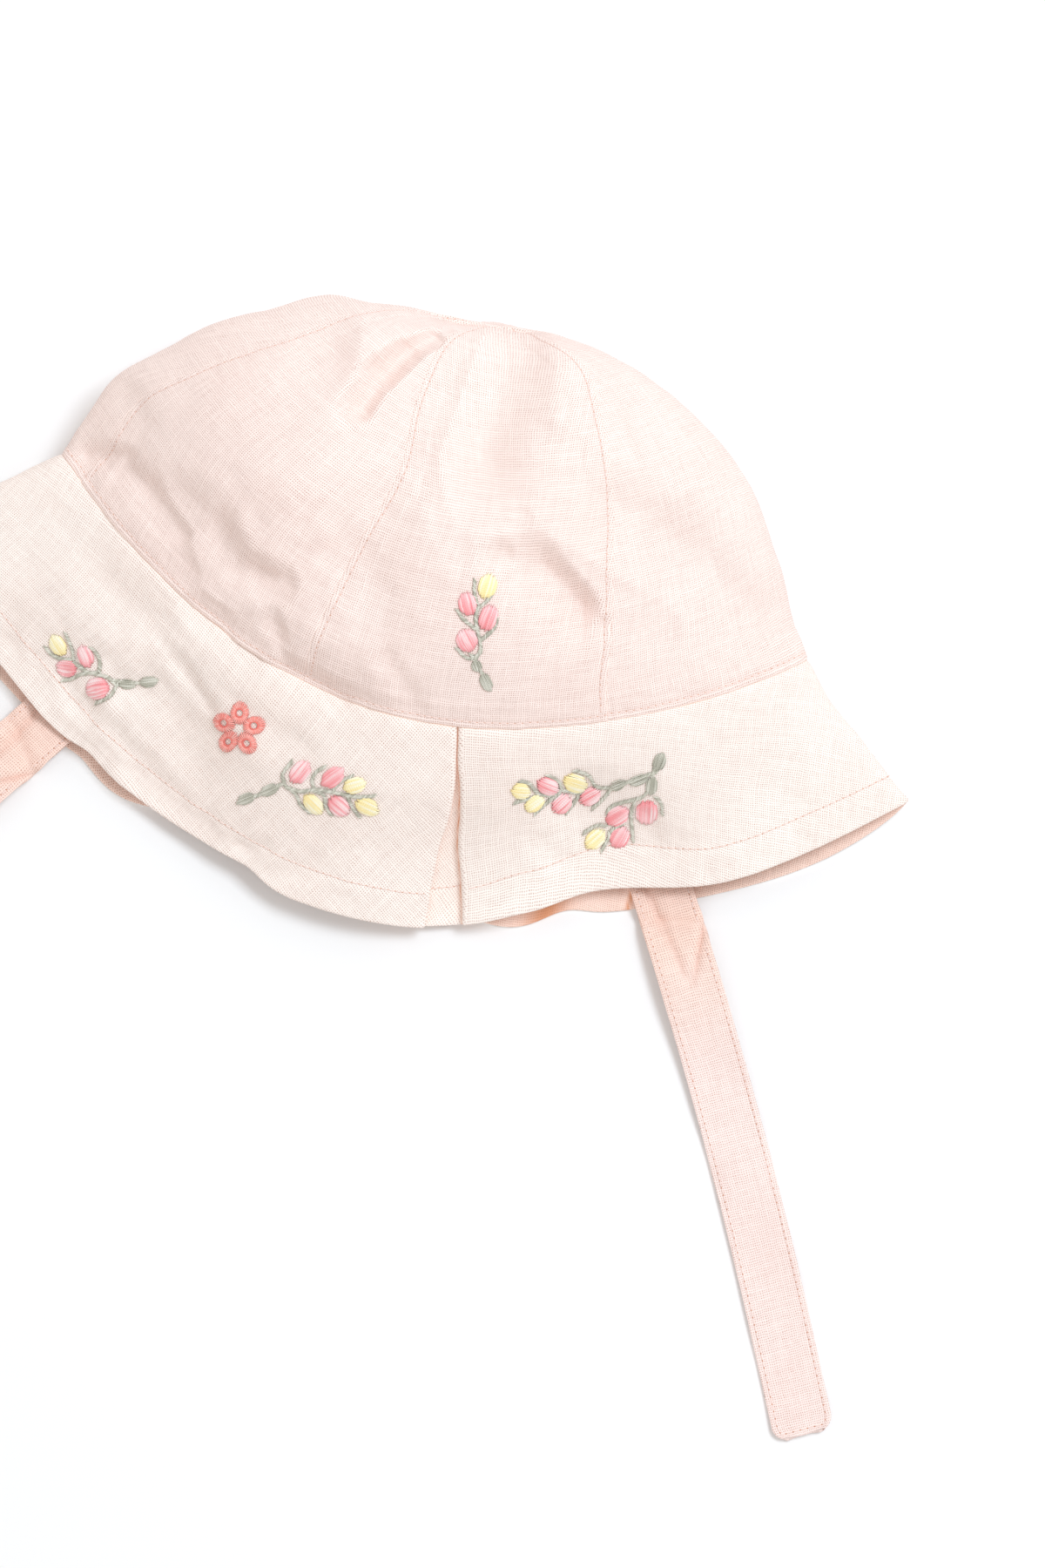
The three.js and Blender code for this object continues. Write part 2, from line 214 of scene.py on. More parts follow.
def linen(name, yarn, pinhole_shade, painted_shade_to=0.0):
    """A linen of one colour, a little uneven in tone, with painted shade up to a line across its pattern."""
    made = bpy.data.materials.new(name)
    made.use_nodes = True
    made.cycles.emission_sampling = "NONE"
    tree = made.node_tree
    surface = tree.nodes["Principled BSDF"]
    woven = tree.nodes.new("ShaderNodeGroup")
    woven.node_tree = weave
    woven.inputs["Yarn Colour"].default_value = (*yarn, 1)
    woven.inputs["Pinhole Shade"].default_value = (*pinhole_shade, 1)
    woven.inputs["Slub"].default_value = 0.2
    place = tree.nodes.new("ShaderNodeTexCoord").outputs["Object"]
    colouring = mixed(tree, clouds(tree, place, 30.0, 3.0)["Fac"], (0.97, 0.935, 0.925, 1), (1.02, 1.05, 1.055, 1))
    colour = mixed(tree, 1.0, woven.outputs["Colour"], colouring, "MULTIPLY")
    # Painted shade: up to the line the colour is darker and warmer.
    if painted_shade_to:
        flat = tree.nodes.new("ShaderNodeUVMap")
        flat.uv_map = "cloth"
        parts = tree.nodes.new("ShaderNodeSeparateXYZ")
        tree.links.new(flat.outputs["UV"], parts.inputs[0])
        run = tree.nodes.new("ShaderNodeMapRange")
        run.inputs["From Min"].default_value = painted_shade_to - 0.035
        run.inputs["From Max"].default_value = painted_shade_to
        tree.links.new(parts.outputs[1], run.inputs["Value"])
        painted_shade_band = mixed(tree, run.outputs[0], (0.97, 0.87, 0.8, 1), (1.0, 1.0, 1.0, 1))
        colour = mixed(tree, 1.0, colour, painted_shade_band, "MULTIPLY")
    # Painted shade and painted glow: where the cloth is closed in, its colour is darkened towards brown and
    # it glows warm. This stands in for the warm light that comes through the cloth there.
    shade_and_glow_amount = tree.nodes.new("ShaderNodeAttribute")
    shade_and_glow_amount.attribute_name = "painted_shade_and_glow"
    depth = maths(tree, "POWER", shade_and_glow_amount.outputs["Fac"], 2.0)
    painted_shade_tint = mixed(tree, depth, (1.0, 1.0, 1.0, 1), (0.42, 0.21, 0.11, 1))
    tree.links.new(mixed(tree, 1.0, colour, painted_shade_tint, "MULTIPLY"), surface.inputs["Base Color"])
    # The painted glow's colour, warmer where the cloth is more closed in.
    through = mixed(tree, depth, (0.36, 0.34, 0.32, 1), (0.3, 0.12, 0.045, 1))
    tree.links.new(through, surface.inputs["Emission Color"])
    tree.links.new(shade_and_glow_amount.outputs["Fac"], surface.inputs["Emission Strength"])
    bump = tree.nodes.new("ShaderNodeBump")
    bump.inputs["Strength"].default_value = 0.6
    bump.inputs["Distance"].default_value = 0.00012
    tree.links.new(woven.outputs["Height"], bump.inputs["Height"])
    tree.links.new(bump.outputs["Normal"], surface.inputs["Normal"])
    surface.inputs["Roughness"].default_value = 0.9
    surface.inputs["Specular IOR Level"].default_value = 0.15
    surface.inputs["Sheen Weight"].default_value = 0.1
    surface.inputs["Sheen Roughness"].default_value = 0.5
    surface.inputs["Sheen Tint"].default_value = (1.0, 0.92, 0.88, 1)
    return made


# ---------------------------------------------------------------------------------------------
# The crown. Six gores of linen meet in a point, each as wide at the bottom as a sixth of the
# head. Lying on its back, the crown keeps its bulge in front and lies crumpled flat behind.
CLOTH = 1.2  # millimetres through the two layers of a wall
PANELS = 6
ORIGIN = np.array([5.69, 70.1, 0.0])  # the middle of the whole hat, from its own centre line
BACK_SLACK = 1.08  # how much longer the crumpled back is than its smooth curve
CROWN_DEPTH = 134.0  # millimetres of cloth from the point to the seam
CROWN_TIP = 0.003  # the share of that depth where the gores begin, close round the point
BRIM_DEPTH = 53.0  # and from the seam to the hem
SECTION_STEPS = 1440  # steps of angle round one ring
PRESSED = 1.3  # how much deeper than its table a fold is pressed
OVERHANG = (0.62, 0.79)  # the way, up and to the right, from which the cloth hangs over a fold
PUFF = 10.0  # millimetres above a ring's sides, from where the cloth counts in full as the front
SEAM_REACH = 15.0  # millimetres on either side of the crown seam, over which its waves fade


def table(columns, rows):
    return dict(zip(columns.split(), np.array(rows, float).T))


# A ring for each distance down, as a share of the crown's depth and past 1 of the brim's. Half is
# its half width and lean its middle, along X. Side and rise are its Y and height at its two sides,
# front and top in the middle of the front, back and floor behind. Arch below 1 makes the front
# fuller, turn is in degrees, and the tugs are how far three of the seams are drawn round it.
ring_columns = "down half lean side rise front top back floor arch turn side_tug front_tug right_tug"
crown_rings = table(ring_columns, [
    [0.0, 0.0, 1.0, 62.5, 28.0, 62.5, 28.0, 62.5, 28.0, 1.0, 14.0, 0, 0, 0],
    [0.1, 14.0, 1.0, 63.3, 27.5, 60.6, 40.0, 63.8, 15.0, 1.0, 14.0, 0, -4, 0],
    [0.2, 29.0, 0.0, 62.3, 26.5, 53.0, 49.5, 60.0, 4.5, 0.96, 14.0, 4, -5.5, 2.5],
    [0.35, 51.8, -3.1, 56.5, 24.5, 35.5, 57.0, 43.0, 0.3, 0.9, 10.8, 16.5, 1, 3],
    [0.5, 69.6, -3.8, 47.0, 22.0, 16.0, 60.0, 23.0, 0.3, 0.87, 9.4, 13, 8, 2.5],
    [0.65, 83.0, -3.4, 35.0, 19.5, -4.5, 58.0, 5.0, 0.3, 0.87, 8.4, 7.5, 7, 2],
    [0.8, 92.2, -2.3, 22.0, 16.5, -23.5, 50.5, -14.0, 0.3, 0.9, 8.4, 4, 4, 1.5],
    [0.9, 97.5, -1.2, 11.0, 14.5, -34.5, 44.0, -27.0, 0.3, 0.95, 8.6, 3, 1.2, 0],
    [1.0, 103.0, -0.5, -0.5, 12.0, -44.0, 37.0, -40.0, 0.3, 0.9, 9.2, 1, 0, -1],
])

# Folds pressed into the front, from one place to another as seen from above. A minus is a ridge.
folds = table("from_x from_y to_x to_y width depth", [
    [-96, 1, -86, 3, 3, 2.6], [-86, 1, -77, -3, 3, 2.4], [-77, -3, -66, -12, 3.5, 3.4],
    [-66, -12, -62, -20, 4, 1.8], [-67, -3, -57, -9, 5, 2.4], [-57, -9, -48, -17, 5, 3.6],
    [-48, -17, -36, -17, 4.5, 4.4], [-36, -17, -21, -20, 4, 1.8], [-37, -26, -34, -32, 3.5, 1.6],
    [-32, -21, -26, -25, 3.5, 1.6], [-56, -30, -39, -35, 4, 2.0], [-30, -38, -14, -42, 3, 2.2],
    [-91, 20, -84, 13, 4, 1.2], [-12, 58.5, -15, 55, 4.5, 6.4], [-15, 55, -20, 49, 4.5, 8.0],
    [-20, 49, -25, 41, 4.5, 8.6], [-25, 41, -28, 31, 4.5, 7.0], [-13, 24, -19, -4, 12, 5.4],
    [4, 34, 6, 1, 3.5, 1.2], [-8, 60, -13, 24, 14, 6.0], [4, 60, 4, 28, 10, 6.8],
    [17, 60, 22, 42, 5, -2.0], [7, 25, 19, 14, 4, 1.2], [19, 3, 28, 3, 4, 3.6],
    [28, 3, 39, -3, 6, 6.5], [39, -3, 46, -6, 4, 2.8], [45, 22, 63, 17, 10, 4.4],
    [63, 17, 81, 9, 9, 3.0], [38, 4, 58, 0, 10, 2.4], [15, 4, 20, -7, 2.5, 1.2],
    [33, 51, 42, 37, 4, 1.2], [73, -5, 83, -8, 3, 1.0], [-5, -30, 5, -40, 3, 1.2],
    [-25, -30, -3, -37, 5, -1.8], [-45, 56, -40, 42, 9, 4.2], [-100, -22, -84, -31, 9, 2.2],
    [-84, -31, -66, -41, 8, 2.8], [-66, -40, -58, -48, 5, 3.0], [-60, -46, -48, -55, 4, 3.8],
    [-64, -51, -52, -59, 11, 3.9], [-45, -51, -21, -59, 4, 1.2], [48, -74, 52, -78, 3, 1.0],
    [72, -58, 76, -66, 3, 0.8], [111, -40, 119, -55, 4, 1.2], [-106, -66, -78, -88, 16, 4.2],
    [-80, -66, -62, -76, 13, 2.6], [27, -70, 30, -92, 13, 1.2], [-25, -87, -31, -91, 2.2, 0.8],
    [-11, -87, -19, -95, 2.5, 0.9], [-51, -78, -55, -84, 2.2, 0.7],
])
# Where the crown's outline is pushed in.
pushes = table("from_x from_y to_x to_y width push_x push_y", [
    [-78, 34, -62, 50, 13, 3.0, -2.8],
    [-98, 24, -104, 12, 8, -2.0, 0.6],
    [-34, 61, -12, 64, 9, 0.3, -2.6],
    [84, 27, 96, 10, 10, -2.0, -0.8],
    [-77, -79, -30, -96, 8, 1.1, 3.1],
])
# How the front sinks and shifts in broad waves, about the crown's seam and then out along the brim.
base_waves = table("angle spread tuck lift", [
    [-72, 47, 0.0, -3.5],
    [25, 20, 1.2, 0.0],
])
brim_waves = table("angle spread tuck lift", [
    [-75, 25, 2.5, -2.0],
    [-28, 30, 0.0, -3.8],
    [-42, 10, 0.0, -2.5],
    [3, 10, 0.0, -4.0],
    [6, 5, 1.2, 0.0],
    [12, 4.5, 2.2, 0.0],
    [21, 8, 2.4, -2.5],
    [27, 14, 10.0, -4.5],
    [66, 18, 2.6, 0.0],
])
# Where the back of the brim comes out past the front, or with a minus falls short of it.
back_waves = table("x y spread out", [
    [-70, -83, 18, 5.6],
    [46, -90, 14, 3.5],
    [57, -84, 8, -2.8],
    [118, -48, 24, 1.5],
])
# Which seam each tug draws round, and the share of a turn over which the cloth goes with it.
tugs = {"side_tug": (-1.5, 0.11), "front_tug": (-0.5, 0.11), "right_tug": (0.5, 0.06)}


def smooth(x):
    t = np.clip(x, 0, 1)
    return t * t * (3 - 2 * t)


def near_to(off, reach):
    """1 where off is nothing, and softly less to either side of it."""
    return np.exp(-((off / reach) ** 2))


def ring_at(rings, downs):
    """The rings at any distances down the hat, on smooth curves through the table's rows."""
    knots = rings["down"]
    steps = np.diff(knots)
    i = np.clip(np.searchsorted(knots, downs, side="right") - 1, 0, len(steps) - 1)
    span = steps[i]
    t = (downs - knots[i]) / span
    made = {}
    for name, values in rings.items():
        steep = np.diff(values) / steps
        inner = (steep[:-1] * steps[1:] + steep[1:] * steps[:-1]) / (steps[1:] + steps[:-1])
        slope = np.concatenate([steep[:1], inner, steep[-1:]])
        made[name] = (
            (2 * t**3 - 3 * t**2 + 1) * values[i]
            + (t**3 - 2 * t**2 + t) * span * slope[i]
            + (3 * t**2 - 2 * t**3) * values[i + 1]
            + (t**3 - t**2) * span * slope[i + 1]
        )
    return made


def off_segment(x, y, from_x, from_y, to_x, to_y):
    """How far places lie off a segment, along X and along Y."""
    dx, dy = to_x - from_x, to_y - from_y
    t = np.clip(((x - from_x) * dx + (y - from_y) * dy) / (dx * dx + dy * dy), 0, 1)
    return x - from_x - t * dx, y - from_y - t * dy


def fold_depth(x, y):
    """How deep the folds press. Each is steeper on the side where the cloth hangs over it."""
    valley = np.zeros_like(x)
    ridge = np.zeros_like(x)
    for *ends, width, depth in zip(*folds.values()):
        off_x, off_y = off_segment(x, y, *ends)
        away = np.hypot(off_x, off_y)
        toward = (OVERHANG[0] * off_x + OVERHANG[1] * off_y) / np.maximum(away, 1e-6)
        reach = width * (1.3 - 0.4 * toward * np.sign(depth))
        pressed = PRESSED * depth * near_to(away, reach)
        valley = np.maximum(valley, pressed)
        ridge = np.minimum(ridge, pressed)
    return valley + ridge


def form(rings, downs, turns):
    """The middle of the cloth, in millimetres, for each distance down and each share of a turn round."""
    ring = ring_at(rings, downs)
    col = {name: values[:, None] for name, values in ring.items()}
    angle = np.linspace(-math.pi, math.pi, SECTION_STEPS + 1)
    facing = np.cos(angle)[None, :]
    fore, aft = np.maximum(facing, 0), np.minimum(facing, 0)
    # Each ring is puffed in front and flat behind, with more cloth there than its curve needs.
    over = col["rise"] + (col["top"] - col["rise"]) * fore ** col["arch"]
    flatness = 1 + 2.5 * smooth(col["down"] / 0.4)
    under = col["rise"] - (col["rise"] - col["floor"]) * (1 - (1 + aft) ** flatness)
    middle = np.where(facing > 0, col["front"], col["back"])
    x = col["lean"] + col["half"] * np.sin(angle)
    y = col["side"] + (middle - col["side"]) * np.abs(facing) ** np.where(facing > 0, 2.0, 1.6)
    z = np.maximum(np.where(facing > 0, over, under), CLOTH / 2)
    section = np.stack([x, y, z], axis=-1)
    slack = np.where(np.abs(angle[1:] + angle[:-1]) > math.pi, BACK_SLACK, 1.0)
    run = np.linalg.norm(np.diff(section, axis=1), axis=2) * slack
    run = np.concatenate([np.zeros((len(downs), 1)), np.cumsum(run, axis=1)], axis=1)
    total = run[:, -1]
    # The cloth is walked round each ring, and drawn along it by the tugs.
    wrapped = turns - np.round(turns)
    places = np.empty((len(downs), len(turns), 3))
    for r in range(len(downs)):
        front_step = (ring["turn"][r] / 360 + 0.5) * SECTION_STEPS
        start = np.interp(front_step, np.arange(SECTION_STEPS + 1), run[r])
        pull = sum(ring[tug][r] * near_to(wrapped - seam / PANELS, reach)
                   for tug, (seam, reach) in tugs.items())
        walked = (start + turns * total[r] + pull) % total[r]
        for axis in range(3):
            places[r, :, axis] = np.interp(walked, run[r], section[r, :, axis])
    # Then it is folded, let out behind, waved along its seams and pushed in.
    frontness = smooth((places[..., 2] - col["rise"]) / PUFF)
    places[..., 2] -= frontness * fold_depth(places[..., 0], places[..., 1])
    flare = smooth((col["down"] - 1) * 1.2)
    for x, y, spread, out in zip(*back_waves.values()):
        away = np.hypot(places[..., 0] - x, places[..., 1] - y)
        places[..., 1] -= flare * (1 - frontness) * out * near_to(away, spread)
    off_seam = (col["down"] - 1) * np.where(col["down"] < 1, CROWN_DEPTH, BRIM_DEPTH)
    for waves, reach in ((base_waves, near_to(off_seam, SEAM_REACH)), (brim_waves, flare)):
        for angle_at, spread, tuck, lift in zip(*waves.values()):
            share = reach * frontness * near_to(wrapped * 360 - angle_at, spread)
            places[..., 1] += share * tuck
            places[..., 2] += share * lift
    for *ends, width, push_x, push_y in zip(*pushes.values()):
        near = near_to(np.hypot(*off_segment(places[..., 0], places[..., 1], *ends)), width)
        places[..., 0] += push_x * near
        places[..., 1] += push_y * near
    return places, total


def outwards(places):
    """The way out of the cloth at each place of a closed set of rings."""
    down = np.gradient(places, axis=0)
    loop = places[:, :-1]
    around = np.roll(loop, -1, axis=1) - np.roll(loop, 1, axis=1)
    around = np.concatenate([around, around[:, :1]], axis=1)
    out = np.cross(down, around)
    return out / np.maximum(np.linalg.norm(out, axis=2, keepdims=True), 1e-9)


def crumple(places, size, amount, seed):
    """Soft creases of about that size, in millimetres, the same on every run."""
    shift = Vector((seed * 13.7, seed * -5.1, seed * 3.3))
    values = [noise.noise(Vector(p) / size + shift) for p in places.reshape(-1, 3).tolist()]
    return amount * np.array(values).reshape(places.shape[:2])


def skin(rings, downs, columns, relief):
    """A fine net of places over the cloth, with the small relief that its sewing and wear give it."""
    turns = np.linspace(-0.5, 0.5, columns)
    places, total = form(rings, downs, turns)
    places = places + relief(downs, turns, places, total)[..., None] * outwards(places)
    places[..., 2] = np.maximum(places[..., 2], CLOTH / 2)
    return {"downs": downs, "total": total, "places": places, "out": outwards(places)}


def on_skin(net, down, turn, lift):
    """Places on a net, and the way out of it, at any distances down and shares of a turn round."""
    down, turn, lift = np.broadcast_arrays(down, turn, lift)
    rows, columns = net["places"].shape[:2]
    r = np.interp(down, net["downs"], np.arange(rows))
    c = (turn + 0.5) % 1.0 * (columns - 1)
    i = np.minimum(r.astype(int), rows - 2)
    j = np.minimum(c.astype(int), columns - 2)
    s, t = (r - i)[..., None], (c - j)[..., None]

    def between(grid):
        near = (1 - t) * grid[i, j] + t * grid[i, j + 1]
        far = (1 - t) * grid[i + 1, j] + t * grid[i + 1, j + 1]
        return (1 - s) * near + s * far

    out = between(net["out"])
    out = out / np.linalg.norm(out, axis=-1, keepdims=True)
    return between(net["places"]) + lift[..., None] * out, out


SEAM_STITCH = 1.7  # from a gore seam to its topstitching
SEAM_ALLOWANCE = 6.0  # the pressed edges under it
BASE_STITCH = 2.0  # from the bottom edge of the crown up to its topstitching
BASE_ALLOWANCE = 7.5  # the pressed edge under that
# Which way each gore's seam allowances are pressed: the seam's place round, and the side they lie on.
seam_sides = table("seam side", [[-2.5, -1], [-1.5, 1], [-0.5, 1], [0.5, -1], [1.5, -1], [2.5, 1]])


def creased(places, x, y, reach, amount):
    """Small creases over one patch of the cloth."""
    near = near_to(np.hypot(places[..., 0] - x, places[..., 1] - y), reach)
    return near * (crumple(places, 9, amount, 14) + crumple(places, 5, 0.4 * amount, 15))


def crown_relief(downs, turns, places, total):
    """The crown's crumples, and what its seams do to the cloth: raised, pulled in and drawn up."""
    height = crumple(places, 26, 0.5, 1) + crumple(places, 11, 0.3, 2) + crumple(places, 5, 0.16, 3)
    height = height + creased(places, -33, -20, 28, 1.3)
    fade = smooth(downs / 0.12)[:, None]
    drawn_up = crumple(places, 2.6, 0.16, 9)
    for seam, side in zip(*seam_sides.values()):
        off = turns[None, :] - seam / PANELS
        off = (off - np.round(off)) * total[:, None] * side
        allowance = smooth(off / 0.5) * (1 - smooth((off - SEAM_ALLOWANCE) / 1.6))
        stitched = near_to(off - SEAM_STITCH, 0.6)
        height = height + fade * (0.22 * allowance - 0.14 * stitched + near_to(off, 5.0) * drawn_up)
    up = ((1 - downs) * CROWN_DEPTH)[:, None]
    folded = smooth(up / 0.5) * (1 - smooth((up - BASE_ALLOWANCE) / 2))
    stitched = near_to(up - BASE_STITCH, 0.7)
    return height + 0.25 * folded - 0.16 * stitched + near_to(up - 3, 5.0) * drawn_up


crown_net = skin(crown_rings, np.linspace(CROWN_TIP, 1.0, 260), 1321, crown_relief)


def with_edges(size, count, edges):
    """Shares from 0 to 1 over a size in millimetres, with a few close steps at both ends."""
    steps = np.minimum(np.array(edges) / size, 0.02 * np.arange(len(edges)))
    run = np.linspace(0, 1, 400)
    crowding = 1 + 1.5 * near_to(np.minimum(run, 1 - run) * size, 6.0)
    counted = np.concatenate([[0], np.cumsum((crowding[1:] + crowding[:-1]) / 2)])
    inner = np.linspace(steps[-1], 1 - steps[-1], count - 2 * len(edges) + 2)
    inner = np.interp((inner - inner[0]) / (inner[-1] - inner[0]), counted / counted[-1], run)
    inner = steps[-1] + inner * (1 - 2 * steps[-1])
    return np.concatenate([steps[:-1], inner, 1 - steps[:-1][::-1]])


def laid_grids(name, sheets):
    """A mesh with one grid of faces for each sheet, and the sheet, row and column of every vertex."""
    rows, columns = sheets.shape[1:3]
    bm = bmesh.new()
    for _ in sheets:
        bmesh.ops.create_grid(bm, x_segments=columns - 1, y_segments=rows - 1, size=0.5)
    mesh = bpy.data.meshes.new(name)
    bm.to_mesh(mesh)
    bm.free()
    co = np.empty(len(mesh.vertices) * 3)
    mesh.vertices.foreach_get("co", co)
    c = np.rint((co[0::3] + 0.5) * (columns - 1)).astype(int)
    r = np.rint((0.5 - co[1::3]) * (rows - 1)).astype(int)
    which = np.arange(len(c)) // (rows * columns)
    mesh.vertices.foreach_set("co", (sheets[which, r, c] / 1000).ravel())
    return mesh, (which, r, c)


def set_uv(mesh, name, values):
    corners = np.empty(len(mesh.loops), int)
    mesh.loops.foreach_get("vertex_index", corners)
    mesh.uv_layers.new(name=name).data.foreach_set("uv", values[corners].ravel())


def close_up(mesh):
    """Merges what meets, such as the two ends of a tube's walls, and turns the faces outwards."""
    bm = bmesh.new()
    bm.from_mesh(mesh)
    bmesh.ops.remove_doubles(bm, verts=bm.verts, dist=1e-6)
    bmesh.ops.recalc_face_normals(bm, faces=bm.faces)
    bm.to_mesh(mesh)
    bm.free()


def cloth_piece(name, places, pattern, wall, painted_shade_and_glow, materials, thickness=CLOTH, closed=False):
    """A sheet laid on rows of places, with its flat pattern as its UV map, then given its thickness.

    The first material is the outside's, and a second one is the inside's. The values given after the wall
    say how far the cloth is closed in, and so how much painted shade and painted glow it is given."""
    mesh, (_, r, c) = laid_grids(name, places[None])
    set_uv(mesh, "cloth", pattern[r, c] / 1000)
    mesh.attributes.new("painted_shade_and_glow", "FLOAT", "POINT").data.foreach_set("value", painted_shade_and_glow[r, c])
    for material in materials:
        mesh.materials.append(material)
    made = bpy.data.objects.new(name, mesh)
    scene.collection.objects.link(made)
    group = made.vertex_groups.new(name="wall")
    for share in np.unique(wall):
        group.add(np.nonzero(wall[r, c] == share)[0].tolist(), float(share), "REPLACE")
    if closed:
        close_up(mesh)
    solid = made.modifiers.new("wall", "SOLIDIFY")
    solid.thickness = thickness / 1000
    solid.offset = 0
    solid.vertex_group = "wall"
    solid.material_offset = len(materials) - 1
    bpy.context.view_layer.objects.active = made
    bpy.ops.object.modifier_apply(modifier="wall")
    made.vertex_groups.clear()
    mesh.shade_smooth()
    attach(made, "root")
    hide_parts(name)
    return made


# Steps in from an edge, in millimetres, and the share of the wall's thickness at each of them.
seam_edge = {"steps": (0.0, 0.1, 0.3, 0.7), "wall": (0.66, 0.9, 0.98, 1.0)}
folded_edge = {"steps": (0.0, 0.2, 0.5, 0.9), "wall": (0.35, 0.75, 0.94, 1.0)}
crown_edge = {"steps": (0.0, 0.1, 0.3, 0.7), "wall": (0.6, 0.88, 0.98, 1.0)}


def wall_shares(rows, columns, sides=None, top=None, bottom=None):
    """The wall's thickness over a piece, thinner towards each edge that is given."""
    wall = np.ones((rows, columns))
    for step in range(4):
        if sides:
            both = [step, -1 - step]
            wall[:, both] = np.minimum(wall[:, both], sides["wall"][step])
        if top:
            wall[step] = np.minimum(wall[step], top["wall"][step])
        if bottom:
            wall[-1 - step] = np.minimum(wall[-1 - step], bottom["wall"][step])
    return wall


SEAM_GAP = 0.04  # between two gores
PATTERN_STEP = 210  # from one gore's flat pattern to the next
crown_linen = linen("blush linen, crown", yarn=(0.985, 0.825, 0.77), pinhole_shade=(0.52, 0.3, 0.24))
panel_names = ["front", "front_right", "back_right", "back", "back_left", "front_left"]
crown_panels = []
for number, panel_name in enumerate(panel_names):
    rows, columns = (204, 136) if panel_name.startswith("front") else (96, 62)
    downs = CROWN_TIP + (1 - CROWN_TIP) * with_edges(CROWN_DEPTH, rows, crown_edge["steps"])
    width = np.interp(downs, crown_net["downs"], crown_net["total"]) / PANELS
    shares = np.array([with_edges(w, columns, seam_edge["steps"]) for w in width]) - 0.5
    turns = (number + shares * (1 - SEAM_GAP / np.maximum(width, 1))[:, None]) / PANELS
    places, _ = on_skin(crown_net, downs[:, None], turns, 0.0)
    pattern_x = shares * width[:, None] + PATTERN_STEP * number
    pattern = np.stack([pattern_x, (1 - downs)[:, None] * CROWN_DEPTH + 0 * shares], axis=-1)
    wall = wall_shares(rows, columns, sides=seam_edge, top=seam_edge, bottom=crown_edge)
    # Painted shade and painted glow along each gore's seams and its bottom edge.
    off_edge = np.minimum((0.5 - np.abs(shares)) * width[:, None], (1 - downs[:, None]) * CROWN_DEPTH)
    painted_shade_and_glow = 0.4 * near_to(off_edge, 0.2)
    panel = cloth_piece("crown_panel_" + panel_name, places + ORIGIN, pattern, wall, painted_shade_and_glow, [crown_linen])
    crown_panels.append(panel)


# ---------------------------------------------------------------------------------------------
# The brim. One curved band of two layers, sewn to the crown. At the front it is folded into an
# inverted pleat that opens towards the hem, and the hem is turned in and stitched round.
GAP = 0.3  # between two layers of cloth
PLEAT_DEPTH = 13.0
PLEAT_STEP = CLOTH + GAP
CLOSED_MOUTH = 0.15  # between the pleat's flaps at the crown seam
HEM_STITCH = 9.0  # from the hem up to its stitching
ROUND = 520  # columns of faces round the brim, from one flap of the pleat to the other
FLAP = 6  # across one flap
UNDERLAY = 56  # and across the pleat's underlay
brim_rings = table(ring_columns, [
    [1.0, 103.0, -0.5, -0.5, 12.0, -44.0, 37.0, -40.0, 0.3, 0.9, 9.9, 0, 0, 0],
    [1.33, 113.7, -2.2, -10.0, 9.5, -62.5, 30.5, -57.5, 0.3, 0.88, 9.9, 0, 0, 0],
    [1.67, 126.8, -1.7, -20.0, 7.0, -81.0, 21.0, -75.5, 0.3, 0.84, 9.9, 0, 0, 0],
    [2.0, 140.0, -1.2, -29.8, 5.0, -99.5, 12.5, -93.2, 0.3, 0.8, 9.9, 0, 0, 0],
])
# The pleat at distances down the hat: how far it has moved round, and how wide its mouth is.
pleat = table("down drift mouth", [
    [1.0, 0.0, CLOSED_MOUTH],
    [1.15, 2.0, CLOSED_MOUTH],
    [1.3, 3.7, 1.0],
    [1.45, 3.5, 2.4],
    [1.6, 1.8, 4.2],
    [1.8, 0.7, 7.1],
    [2.0, 0.0, 9.3],
])


def brim_relief(downs, turns, places, total):
    """The brim's crumples, its turned-in hem, and the cloth drawn up along the hem's stitching."""
    height = crumple(places, 24, 0.6, 4) + crumple(places, 10, 0.26, 5) + crumple(places, 5, 0.14, 6)
    height = height + creased(places, -76, -60, 24, 1.6)
    up = ((2 - downs) * BRIM_DEPTH)[:, None]
    turned_in = 1 - smooth((up - HEM_STITCH - 0.3) / 1.2)
    stitched = near_to(up - HEM_STITCH, 0.7)
    drawn_up = crumple(places, 3.0, 0.2, 10) + crumple(places, 7.0, 0.5, 12)
    drawn_up *= near_to(up - HEM_STITCH + 2, 6.0)
    under_crown = 1 - smooth((downs[:, None] - 1) * BRIM_DEPTH / 2.5)
    return height + 0.16 * turned_in - 0.18 * stitched + drawn_up - 0.4 * under_crown


brim_net = skin(brim_rings, np.linspace(1.0, 2.0, 120), 1701, brim_relief)


